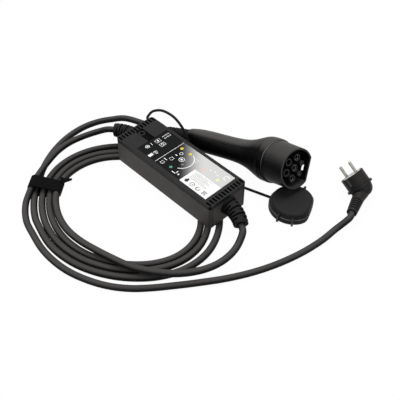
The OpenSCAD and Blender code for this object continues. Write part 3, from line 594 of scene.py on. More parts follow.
@dataclass
class Studio:
    """Camera, floor, lamps and the white surroundings."""

    target_mm: Point = (44.3, 0.85, 0.0)
    azimuth_deg: float = 45.91
    elevation_deg: float = 46.53
    distance_mm: float = 1012.78
    focal_px: float = 665.41
    picture_px: float = 400.0
    sensor_mm: float = 36.0
    ground: float = -0.0002
    floor_half: float = 4.0
    floor_white: float = 0.97
    fill: float = 0.2
    # Each lamp's name, place and size in metres, and power in watts
    lamp_rows: tuple[tuple[str, Point, float, float], ...] = (
        ("top_lamp", (-0.25, 0.25, 1.7), 1.4, 26.0),
        ("left_lamp", (-0.75, -1.35, 1.05), 1.0, 16.0),
        ("right_lamp", (1.5, 0.1, 0.9), 0.9, 5.0))

    def camera(self) -> None:
        """Sets the camera where the photograph was taken from."""
        data = bpy.data.cameras.new("camera")
        data.sensor_width = self.sensor_mm
        data.lens = self.sensor_mm * self.focal_px / self.picture_px
        data.clip_start = 0.01
        camera = bpy.data.objects.new("camera", data)
        up = math.radians(self.elevation_deg)
        side = math.radians(self.azimuth_deg)
        back = Vector((math.cos(up) * math.sin(side), -math.cos(up) * math.cos(side), math.sin(up)))
        camera.location = at(*self.target_mm) + back * self.distance_mm * MM
        camera.rotation_euler = (-back).to_track_quat("-Z", "Y").to_euler()
        bpy.context.scene.collection.objects.link(camera)
        bpy.context.scene.camera = camera
        LOG.info("camera at %s", tuple(round(c, 3) for c in camera.location))

    def _seen(self, tree: bpy.types.NodeTree) -> bpy.types.NodeSocket:
        """One for rays from the camera, from gloss and through glass."""
        seen = add_node(tree, "LightPath", "Is Camera Ray")
        for ray in ("Is Glossy Ray", "Is Transmission Ray"):
            also = add_node(tree, "LightPath", ray)
            seen = add_node(tree, "Math", 0, {"operation": "MAXIMUM"}, _0=seen, _1=also)
        return seen

    def surroundings(self) -> None:
        """White surroundings that give soft light from all sides."""
        world = bpy.data.worlds.new("studio")
        world.use_nodes = True
        tree = world.node_tree
        fill = add_node(tree, "Background", color=linear("#f6f8ff"), strength=self.fill)
        white = add_node(tree, "Background", color=linear("#ffffff"), strength=1.0)
        both = add_node(tree, "MixShader", _0=self._seen(tree), _1=fill, _2=white)
        feed(tree.nodes["World Output"], surface=both)
        bpy.context.scene.world = world

    def floor(self) -> None:
        """A pale floor that keeps a faint shadow."""
        shape = bmesh.new()
        corners = [(-1, -1), (1, -1), (1, 1), (-1, 1)]
        half = self.floor_half
        shape.faces.new([shape.verts.new((x * half, y * half, self.ground)) for x, y in corners])
        piece = mesh_object("floor", shape)
        material, tree, shader = start_material("pale_floor")
        feed(shader, base_color=linear("#f4f4f4"), roughness=0.9)
        white = add_node(tree, "Emission", color=linear("#ffffff"), strength=1.0)
        share = add_node(tree, "Math", 0, {"operation": "MULTIPLY"}, _0=self._seen(tree), _1=self.floor_white)
        both = add_node(tree, "MixShader", _0=share, _1=shader.outputs[0], _2=white)
        feed(tree.nodes["Material Output"], surface=both)
        piece.data.materials.append(material)

    def lamps(self) -> None:
        """A wide lamp above, one from the left of the camera and a weak one from the right."""
        for name, place, size, watts in self.lamp_rows:
            data = bpy.data.lights.new(name, "AREA")
            data.shape = "DISK"
            data.size = size
            data.energy = watts
            lamp = bpy.data.objects.new(name, data)
            lamp.location = place
            lamp.rotation_euler = (-Vector(place)).to_track_quat("-Z", "Y").to_euler()
            bpy.context.scene.collection.objects.link(lamp)

    def build(self) -> None:
        """Sets up everything that isn't the object."""
        self.camera()
        self.surroundings()
        self.floor()
        self.lamps()
        bpy.context.scene.view_settings.view_transform = "Standard"


@dataclass
class ConnectorShape:
    """Sizes of the vehicle connector in millimetres, and its own frame."""

    place: Point = (136.0, 110.5, 55.6)
    turn: Point = (-118.5, -20.0, -5.4)
    shroud_l: float = 42.0
    collar_t: float = 1.2
    head_d: float = 70.0
    grip_w: float = 36.0
    grip_h: float = 39.0
    grip_l: float = 158.0
    bend_deg: float = 23.5
    bend_len: float = 26.0
    tail_l: float = 46.0
    tail_root_d: float = 25.0
    tail_tip_d: float = 16.0
    tail_ribs: int = 8

    @property
    def frame_of(self) -> Matrix:
        """From the connector's own millimetres to the frame."""
        return own_frame(self.place, self.turn)

    @property
    def seam_x(self) -> float:
        """Where the grip begins behind its seal."""
        return -self.shroud_l - self.collar_t

    def spine(self, s: float) -> tuple[Vector, Vector]:
        """Point and direction of the grip's middle line.

        Args:
            s: Distance behind the seal.

        Returns:
            The point and the direction, in the connector's own frame.
        """
        bend = math.radians(self.bend_deg)
        radius = self.bend_len / bend
        a = bend * min(1.0, max(0.0, s / self.bend_len))
        past = max(0.0, s - self.bend_len)
        x = -radius * math.sin(a) - past * math.cos(a)
        z = -radius * (1 - math.cos(a)) - past * math.sin(a)
        return Vector((self.seam_x + x, 0, z)), Vector((-math.cos(a), 0, -math.sin(a)))

    def tail_end(self) -> tuple[Vector, Vector]:
        """Where the cable leaves the ribbed sleeve, and its direction, in the frame."""
        point, way = self.spine(self.grip_l)
        tip = self.frame_of @ (point + way * self.tail_l)
        return tip, (self.frame_of.to_3x3() @ way).normalized()


@dataclass
class CableRoutes:
    """The routes of the cords, in millimetres from the middle of the box."""

    ev_d: float = 10.6
    mains_d: float = 10.0
    tether_d: float = 4.4
    stub: float = 12.0
    box_l: float = 207.0
    boot_z: float = 35.0
    boot_l: float = 40.0
    front_aim: Point = (0.0, 16.0, -34.0)
    rear_aim: Point = (0.0, 4.0, 34.0)
    ring_back: float = 17.0
    ring_r: float = 8.1
    plug_place: Point = (204.0, 181.0, 20.7)
    plug_turn: Point = (55.0, -10.0, -83.0)
    arm_l: float = 54.0
    arm_lean: float = 16.0
    arm_root: float = -7.5
    cap_place: Point = (151.5, 89.5, 0.0)
    cap_turn: float = 25.0
    cap_eye_turn: float = 176.0
    tether_rise: float = 6.5
    # Points of the tether before its straight last stretch
    tether_rest: int = 12
    cap_eye_r: float = 35.7
    coil_mid: tuple[float, float] = (-18.0, -92.0)
    coil_half: tuple[float, float] = (121.5, 98.0)
    bundle_angle: float = -115.0
    bundle_off: tuple[float, ...] = (-3.0, 7.0, 18.0, 29.0)
    spread_off: tuple[float, ...] = (1.4, 12.2, 29.0)
    strap_lift: float = 2.4
    strap_angle: float = -146.0
    first_z: float = 13.4
    first_drop: float = 0.2
    coil_dent: float = 0.06
    dent_angle: float = -45.0
    dent_from: float = 0.3
    lift_from: float = 0.5
    coil_steps: int = 20
    coil_turns: int = 3
    lead: tuple[Point, ...] = (
        (146, -16, 18.6), (156, -36, 16.8), (160, -60, 16.8), (157, -84, 16.8), (147, -108, 17.4),
        (130, -131, 18), (107, -150, 18.2), (81, -165, 18.4), (53, -174, 18.4), (24, -181, 17.6),
        (-6, -186, 16.2), (-37, -186, 14.8))
    run: tuple[Point, ...] = (
        (-101, -199, 7), (-117, -189, 7.4), (-132, -177, 7.7), (-145, -164, 7.7), (-159, -149, 7.2),
        (-174, -132, 6.2), (-188, -111, 5.6), (-200, -86, 5.4), (-208, -58, 5.4), (-210, -29, 5.4),
        (-205, -3, 5.6), (-193, 20, 6), (-174, 40, 7.4))
    mains: tuple[Point, ...] = (
        (-164, -26, 25), (-176, -48, 20.5), (-181, -74, 19), (-178, -99, 18.8), (-169, -123, 18.8),
        (-159, -144, 18.8), (-149, -162, 18.6), (-138, -179, 16.2), (-124, -199, 8.2), (-99, -215, 5.4),
        (-70, -223, 5.2), (-40, -229, 5.2), (-10, -230, 5.2), (20, -226, 5.2), (50, -216, 5.2),
        (77, -202, 5.2), (100, -184, 5.2), (119, -163, 5.2), (138, -138, 5.2), (158, -110, 5.2),
        (179, -78, 5.2), (197, -44, 5.2), (211, -8, 5.2), (221, 30, 5.2), (226, 66, 5.2), (227, 96, 6))
    tether: tuple[Point, ...] = (
        (-133, 52, 24), (-127, 51, 38), (-116, 52, 51), (-99, 56, 59), (-78, 60, 57), (-60, 61, 47),
        (-47, 60, 33), (-38, 59, 20), (-27, 57, 10), (-10, 55, 4), (15, 54, 2.4), (42, 56, 2.4),
        (68, 61, 2.4), (92, 69, 2.8))

    def boot_frame(self, front: bool) -> Matrix:
        """The own frame of a boot on the box, which points away from the wall."""
        side = 1 if front else -1
        return own_frame((side * self.box_l / 2, 0, self.boot_z), (0, 0, 0 if front else 180))

    def boot_line(self, front: bool, share: float) -> tuple[Vector, Vector]:
        """Middle line of a boot on the box, which bends from the wall towards its cable.

        Args:
            front: Whether it is the boot at the vehicle end.
            share: Share of the way from the wall to the tip.

        Returns:
            The point and the direction, in the boot's own frame.
        """
        straight = Vector((1, 0, 0))
        bend = turned(self.front_aim if front else self.rear_aim) @ straight - straight
        point = self.boot_l / 2 * (2 * share * straight + share ** 2 * bend)
        return point, (straight + bend * share).normalized()

    def boot_tip(self, front: bool) -> tuple[Vector, Vector]:
        """Where a cable leaves its boot on the box, and its direction, in the frame."""
        own = self.boot_frame(front)
        point, way = self.boot_line(front, 1.0)
        return own @ point, (own.to_3x3() @ way).normalized()

    def _coil_off(self, u: float) -> float:
        """How far out the coil lies after u turns."""
        i = min(math.floor(u), self.coil_turns - 1)
        f = u - i
        if f < 0.5:
            return mix(self.bundle_off[i], self.spread_off[i], ease(2 * f))
        return mix(self.spread_off[i], self.bundle_off[i + 1], ease(2 * f - 1))

    def coil_point(self, u: float) -> Vector:
        """Point of the coil after u turns, with whole numbers near the strap."""
        floor_z = self.ev_d / 2
        degrees = self.bundle_angle - 360 * u
        a = math.radians(degrees)
        off = self._coil_off(u)
        inward = max(0.0, math.cos(math.radians(degrees - self.dent_angle)))
        k = 1.0 if u < self.dent_from else 1 - self.coil_dent * inward ** 4
        if u < self.first_drop:
            z = mix(self.first_z, floor_z, ease(u / self.first_drop))
        elif u < self.lift_from:
            z = floor_z
        else:
            near = (1 + math.cos(math.radians(degrees - self.strap_angle))) / 2
            z = floor_z + self.strap_lift * near ** 8
        return at(self.coil_mid[0] + k * (self.coil_half[0] + off) * math.cos(a),
                  self.coil_mid[1] + k * (self.coil_half[1] + off) * math.sin(a), z)

    def ev_path(self, connector: ConnectorShape) -> list[Vector]:
        """Points of the vehicle cable from the box to the connector."""
        tip, way = self.boot_tip(front=True)
        last = self.coil_turns * self.coil_steps
        coil = [self.coil_point(i / self.coil_steps) for i in range(last + 1)]
        end, tail = connector.tail_end()
        steps = (self.ring_back + self.stub, self.ring_back, self.ring_back - self.stub, 0.0)
        # The bent boot makes the first bend of the lead itself
        lead = [at(*p) for p in self.lead[1:]]
        return ([tip, tip + way * self.stub * MM] + lead + coil
                + [at(*p) for p in self.run] + [end + tail * d * MM for d in steps])

    def mains_path(self) -> list[Vector]:
        """Points of the mains cable from the box to the plug."""
        tip, way = self.boot_tip(front=False)
        plug = own_frame(self.plug_place, self.plug_turn)
        lean = math.radians(self.arm_lean)
        arm = Vector((math.cos(lean), 0, -math.sin(lean)))
        end = plug @ (Vector((0, 0, self.arm_root)) + arm * self.arm_l)
        out = (plug.to_3x3() @ arm).normalized()
        return ([tip, tip + way * self.stub * MM] + [at(*p) for p in self.mains]
                + [end + out * self.stub * MM, end])

    def tether_path(self, connector: ConnectorShape) -> list[Vector]:
        """Points of the cap's tether from its ring to the cap."""
        end, tail = connector.tail_end()
        top = end + tail * self.ring_back * MM + Vector((0, 0, self.ring_r * MM))
        turn = math.radians(self.cap_turn + self.cap_eye_turn)
        away = Vector((math.cos(turn), math.sin(turn), 0))
        cap = at(*(Vector(self.cap_place) + away * self.cap_eye_r + Vector((0, 0, self.tether_rise))))
        slack = [at(*p) for p in self.tether[:self.tether_rest]]
        return [top, top + Vector((0, 0, self.tether_d * MM))] + slack + [slack[-1].lerp(cap, 0.5), cap]


@dataclass
class Cables:
    """The three cords of the object."""

    routes: CableRoutes
    connector: ConnectorShape
    palette: Palette
    steps: int = 6
    ring_sides: int = 4

    def _curve(self, name: str, points: Sequence[Vector],
               diameter_mm: float) -> tuple[bpy.types.Object, float]:
        """A round cord along a soft line through points.

        Args:
            name: The cord's name.
            points: The points of its route.
            diameter_mm: Its diameter.

        Returns:
            The cord and its length in metres.
        """
        line = smooth_line(points, self.steps)
        data = bpy.data.curves.new(name, "CURVE")
        data.dimensions = "3D"
        data.bevel_depth = diameter_mm * MM / 2
        data.bevel_resolution = self.ring_sides
        data.use_fill_caps = True
        spline = data.splines.new("POLY")
        spline.points.add(len(line) - 1)
        for point, place in zip(spline.points, line):
            point.co = (*place, 1.0)
        spline.use_smooth = True
        piece = bpy.data.objects.new(name, data)
        bpy.context.scene.collection.objects.link(piece)
        return piece, line_length(line)

    def build(self, strap: bpy.types.Object, ring: bpy.types.Object,
              plug: Sequence[bpy.types.Object]) -> None:
        """Args:
            strap: The strap round the coil; not used.
            ring: The ring that holds the tether on the vehicle cable; not used.
            plug: The pieces of the mains plug; not used.
        """
        routes = self.routes
        path = routes.ev_path(self.connector)
        ev, length = self._curve("vehicle_cable", path, routes.ev_d)
        settle(ev, self.palette, Look.JACKET, "cable_jacket",
               "ev_cable_lead", "ev_cable_coil", "ev_cable_run")
        path = routes.mains_path()
        mains, length = self._curve("mains_lead", path, routes.mains_d)
        settle(mains, self.palette, Look.JACKET, "cable_jacket", "mains_cable")
        path = routes.tether_path(self.connector)
        tether, length = self._curve("tether_cord", path, routes.tether_d)
        settle(tether, self.palette, Look.TETHER, "tether_rubber", "cap_tether")


@dataclass
class Strap:
    """The hook-and-loop strap, drawn tight round the cables."""

    routes: CableRoutes
    palette: Palette
    width: float = 23.0
    thick: float = 1.6
    edge: float = 0.5
    slack: float = 0.6
    hull_steps: int = 144
    tail_l: float = 12.0
    tail_w: float = 11.0
    tail_tip: float = 3.5
    tail_aside: float = 5.0
    tail_lift: float = 1.0
    tail_gap: float = 0.2
    tail_steps: int = 6
    top_from: float = 14.0
    # The points of the two routes that lie under the strap
    run_point: int = 3
    mains_point: int = 6

    def __post_init__(self) -> None:
        """Finds where the strap sits on the coil, and the ways across and along the cables."""
        half, mid = self.routes.coil_half, self.routes.coil_mid
        a = math.radians(self.routes.strap_angle)
        facing = math.atan2(half[0] * math.sin(a), half[1] * math.cos(a))
        self._base = at(mid[0] + half[0] * math.cos(a), mid[1] + half[1] * math.sin(a), 0)
        self._out = Vector((math.cos(facing), math.sin(facing), 0))
        self._along = Vector((-math.sin(facing), math.cos(facing), 0))

    def _cables(self) -> list[Point]:
        """Each cable under the strap: how far out it lies, its height and its radius."""
        routes = self.routes
        turn = (routes.bundle_angle - routes.strap_angle) / 360
        found = [(routes.coil_point(i + turn), routes.ev_d) for i in range(routes.coil_turns)]
        found.append((at(*routes.run[self.run_point]), routes.ev_d))
        found.append((at(*routes.mains[self.mains_point]), routes.mains_d))
        return [((p - self._base).dot(self._out) / MM, p.z / MM, d / 2) for p, d in found]

    def _hull(self, gap: float) -> Outline:
        """The tight outline round the cables at a distance from them, as points in turn."""
        cables = self._cables()
        outline: Outline = []
        for a in turns(self.hull_steps):
            n = (math.cos(a), math.sin(a))
            x, z, r = max(cables, key=lambda c: c[0] * n[0] + c[1] * n[1] + c[2])
            outline.append((x + (r + gap) * n[0], max(z + (r + gap) * n[1], gap)))
        return outline

    def _put(self, x: float, z: float, shift: float) -> Vector:
        """A point of the section, moved along the cables, in the frame."""
        return self._base + self._out * x * MM + Vector((0, 0, z * MM)) + self._along * shift * MM

    def _tail(self, shape: bmesh.types.BMesh) -> None:
        """Adds the free end, which lies beside the band on the inner turns and narrows to its tip."""
        over = self._hull(self.slack + self.thick + self.tail_gap)
        middle = sum(x for x, _ in over) / len(over)
        line = sorted((p for p in over if p[1] > self.top_from and p[0] < middle), key=lambda p: -p[0])
        start, (x, z) = line[0][0], line[-1]
        for k in range(1, self.tail_steps + 1):
            share = k / self.tail_steps
            line.append((x - self.tail_l * share, z + self.tail_lift * soft(share)))
        rings = []
        for x, z in line:
            share = (start - x) / (start - line[-1][0])
            half = mix(self.tail_w, self.tail_tip, share) / 2
            shift = -self.width / 2 - self.tail_aside * share
            corners = ((z, -half), (z, half), (z + self.thick, half), (z + self.thick, -half))
            rings.append([self._put(x, height, shift + aside) for height, aside in corners])
        add_loft(shape, rings)

    def build(self) -> bpy.types.Object:
        """Makes the strap and returns it."""
        inner = self._hull(self.slack)
        outer = self._hull(self.slack + self.thick)
        half = self.width / 2
        rows = ((inner, -half), (inner, half), (outer, half - self.edge), (outer, self.edge - half))
        rings = [[self._put(x, z, shift) for x, z in hull] for hull, shift in rows]
        shape = bmesh.new()
        add_loft(shape, rings + [rings[0]], close=False)
        self._tail(shape)
        bmesh.ops.remove_doubles(shape, verts=shape.verts, dist=0.01 * MM)
        piece = mesh_object("strap_tape", shape)
        return settle(piece, self.palette, Look.STRAP, "strap_webbing", "cable_strap")


@dataclass
class Boots:
    """The ribbed rubber boots at both ends of the box and at the tail of the grip."""

    routes: CableRoutes
    connector: ConnectorShape
    palette: Palette
    root_d: float = 27.0
    tip_d: float = 22.0
    ribs: int = 7
    groove: float = 2.0
    tail_groove: float = 1.8
    flange_d: float = 29.0
    flange_t: float = 2.5
    sides: int = 72
    rib_steps: int = 14
    land: float = 0.58
    shoulder: float = 0.3
    web_half_deg: float = 26.0
    web_fade: float = 0.06
    # Faces deeper in a groove than this share of it are painted near black as shade
    slot_from: float = 0.6
    tail_land: float = 0.62
    tail_shoulder: float = 0.4
    tail_lip: float = 1.0
    # How far ahead of the tip each ring of its edge lies, and how much narrower than the tip it is
    rim_steps: tuple[tuple[float, float], ...] = ((-0.4, 0.0), (0.1, 0.3), (0.35, 1.0))
    # The same for the rings of the mouth, and how much wider than the cable they are
    mouth_steps: tuple[tuple[float, float], ...] = ((0.35, 1.6), (0.0, 0.7), (-1.5, 0.2))
    # How far behind the flange's face each ring of its edge lies, and how much narrower it is
    flange_steps: tuple[tuple[float, float], ...] = ((0.8, 0.0), (0.2, 0.25), (0.0, 0.9), (0.0, 4.0))

    def _depth(self, rib: int, part: float, angle: float) -> float:
        """Depth of a boot's skin below its ribs.

        Args:
            rib: Number of the rib.
            part: Share of the way along the rib and the groove after it.
            angle: Angle round the boot, where webs bridge every groove at two opposite sides.

        Returns:
            The depth as a share of the groove's depth.
        """
        if part <= self.land:
            return self.shoulder * abs(2 * part / self.land - 1) ** 4
        if rib == self.ribs - 1:
            return self.shoulder * (1 - (part - self.land) / (1 - self.land))
        deep = self.shoulder + (1 - self.shoulder) * (1 - (2 * (part - self.land) / (1 - self.land) - 1) ** 6)
        aside = abs(math.cos(angle - math.pi / 2 * (rib % 2)))
        edge = math.cos(math.radians(self.web_half_deg))
        return mix(deep, self.shoulder, soft((aside - edge) / self.web_fade + 0.5))

    def _box_boot(self, front: bool) -> None:
        """Makes the boot at one end of the box."""
        routes = self.routes
        own = routes.boot_frame(front)
        angles = turns(self.sides)
        count = self.ribs * self.rib_steps

        def ring(share: float, ahead: float, radii: Sequence[float]) -> Ring:
            """Points round the boot's middle line, a little ahead of a share of its length."""
            point, way = routes.boot_line(front, share)
            side = way.cross(Vector((0, 0, 1))).normalized()
            up = side.cross(way)
            return [own @ (point + way * ahead + (side * math.cos(a) + up * math.sin(a)) * r)
                    for a, r in zip(angles, radii)]

        def in_groove(face: bpy.types.MeshPolygon) -> bool:
            """Whether a face lies deep in a groove."""
            i, k = divmod(face.index, self.sides)
            if i >= count - 1:
                return False
            rib, step = divmod(i, self.rib_steps)
            return self._depth(rib, (step + 0.5) / self.rib_steps, angles[k]) > self.slot_from

        rings = []
        for i in range(count):
            rib, step = divmod(i, self.rib_steps)
            part = step / self.rib_steps
            share = (rib + part) / self.ribs
            radius = mix(self.root_d, self.tip_d, share) / 2
            rings.append(ring(share, 0.0, [radius - self.groove * self._depth(rib, part, a) for a in angles]))
        end = [(ahead, self.tip_d / 2 - less) for ahead, less in self.rim_steps]
        end += [(ahead, routes.ev_d / 2 + more) for ahead, more in self.mouth_steps]
        rings += [ring(1.0, ahead, [radius] * self.sides) for ahead, radius in end]
        shape = bmesh.new()
        add_loft(shape, rings)
        r, t = self.flange_d / 2, self.flange_t
        flange = [(0.0, r)] + [(t - back, r - less) for back, less in self.flange_steps]
        add_loft(shape, lathe_rings(flange, own))
        name = "front" if front else "rear"
        piece = mesh_object(f"{name}_cable_boot", shape)
        settle(piece, self.palette, Look.BOOT, "boot_rubber", f"{name}_boot")
        # Painted shade deep in the grooves
        tint_faces(piece, self.palette.of(Look.SLOT), in_groove)

    def _tail_profile(self) -> Outline:
        """Outline of the sleeve with its rounded ribs, from the grip to the mouth round the cable."""
        c = self.connector
        land, low = self.tail_land, self.tail_shoulder
        points: Outline = []
        for i in range(c.tail_ribs * self.rib_steps + 1):
            rib, step = divmod(i, self.rib_steps)
            part = step / self.rib_steps
            if part <= land:
                depth = low * abs(2 * part / land - 1) ** 4
            elif rib >= c.tail_ribs - 1:
                depth = low
            else:
                depth = low + (1 - low) * (1 - (2 * (part - land) / (1 - land) - 1) ** 4)
            share = i / self.rib_steps / c.tail_ribs
            radius = mix(c.tail_root_d, c.tail_tip_d, share) / 2 - depth * self.tail_groove
            points.append((c.tail_l * share, radius))
        tip_r = c.tail_tip_d / 2 - self.tail_groove
        return points + mouth_end(c.tail_l, tip_r, self.routes.ev_d, self.tail_lip)

    def _tail(self) -> None:
        """Makes the sleeve at the tail of the grip."""
        c = self.connector
        point, way = c.spine(c.grip_l)
        turn = Vector((1, 0, 0)).rotation_difference(way).to_matrix().to_4x4()
        shape = bmesh.new()
        add_loft(shape, lathe_rings(self._tail_profile(), c.frame_of @ Matrix.Translation(point) @ turn))
        piece = mesh_object("grip_tail_sleeve", shape)
        settle(piece, self.palette, Look.BOOT, "boot_rubber", "grip_tail")

    def build(self) -> None:
        """Makes all three."""
        self._box_boot(front=True)
        self._box_boot(front=False)
        self._tail()


@dataclass
class Connector:
    """The vehicle connector: grip, seal ring, shroud, carrier and contacts."""

    shape: ConnectorShape
    palette: Palette
    sides: int = 96
    steps: int = 5
    stations: tuple[tuple[float, float], ...] = (
        (0, 0.97), (3, 1), (10, 1), (17, 0.98), (24, 0.88), (31, 0.7), (38, 0.5), (46, 0.31),
        (55, 0.16), (65, 0.07), (78, 0.02), (95, 0), (115, 0), (132, -0.02), (144, -0.07), (152, -0.14),
        (158, -0.2))
    squareness: float = 0.35
    collar_inset: float = 0.9
    collar_depth: float = 3.0
    bead_steps: int = 8
    rim_depth: float = 3.0
    sleeve_reach: float = 12.0
    highlight_facing: float = 0.6

    def _ring(self, s: float, share: float) -> Ring:
        """Section of the grip.

        Args:
            s: Distance behind the seal.
            share: Share of the way from handle to head.

        Returns:
            The ring of points in the frame.
        """
        c = self.shape
        w = mix(c.grip_w, c.head_d, share) / 2
        h = mix(c.grip_h, c.head_d, share) / 2
        power = 2 / (2 + self.squareness * 2 * (1 - min(1.0, max(0.0, share))))
        point, way = c.spine(s)
        up = Vector((way.z, 0, -way.x))
        ring = []
        for a in turns(self.sides):
            ca, sa = math.cos(a), math.sin(a)
            y = w * math.copysign(abs(ca) ** power, ca)
            z = h * math.copysign(abs(sa) ** power, sa)
            ring.append(c.frame_of @ (point + Vector((0, y, 0)) + up * z))
        return ring

    def _grip(self) -> None:
        """Makes the grip as one smooth moulding with a rounded front edge."""
        line = smooth_line([Vector((s, share, 0)) for s, share in self.stations], self.steps)
        rings = [self._ring(p.x, p.y) for p in line]
        shape = bmesh.new()
        add_loft(shape, rings)
        piece = mesh_object("grip_moulding", shape)
        settle(piece, self.palette, Look.GRIP, "grip_plastic", "grip")

    def _collar(self) -> None:
        """Makes the seal ring, a rounded bead between grip and shroud, whose pale top is a painted highlight.
        """
        c = self.shape
        r = mix(c.grip_w, c.head_d, self.stations[0][1]) / 2 - self.collar_inset
        bead = c.collar_t / 2
        profile: Outline = [(-c.shroud_l, r - self.collar_depth)]
        for k in range(self.bead_steps + 1):
            a = math.pi * k / self.bead_steps
            profile.append((-c.shroud_l - bead * (1 - math.cos(a)), r + bead * math.sin(a)))
        profile.append((c.seam_x, r - self.collar_depth))
        shape = bmesh.new()
        add_loft(shape, lathe_rings(profile, c.frame_of, self.sides))
        piece = mesh_object("collar_ring", shape)
        settle(piece, self.palette, Look.COLLAR, "collar_rubber", "collar_seal")

    def _rub(self, piece: bpy.types.Object, reach: float) -> None:
        """Paints the faces at the mouth of a piece in a paler tone, as a painted highlight.

        Args:
            piece: The piece.
            reach: How far back along the connector's own axis such faces lie.
        """
        own = self.shape.frame_of.inverted()
        nose = (self.shape.frame_of.to_3x3() @ Vector((1, 0, 0))).normalized()
        # Painted highlight on the faces at the mouth that face forward
        tint_faces(piece, self.palette.of(Look.RUBBED),
                   lambda face: (own @ face.center).x > -reach and face.normal.dot(nose) > self.highlight_facing)

    def build(self) -> None:
        """Makes the connector's pieces."""
        self._grip()
        self._collar()
        shroud, carrier, *_ = settle_copies(
            self.palette,
            ("shroud", "shroud_moulding", 1.1, Look.SHROUD, "shroud_plastic"),
            ("contact_carrier", "carrier_moulding", 0.45, Look.CARRIER, "carrier_plastic"),
            ("power_contacts", "power_sleeves", 0.3, Look.SILVER, "contact_silver"),
            ("pilot_contacts", "pilot_sleeves", 0.25, Look.SILVER, "contact_silver"))
        self._rub(shroud, self.rim_depth)
        self._rub(carrier, self.sleeve_reach)


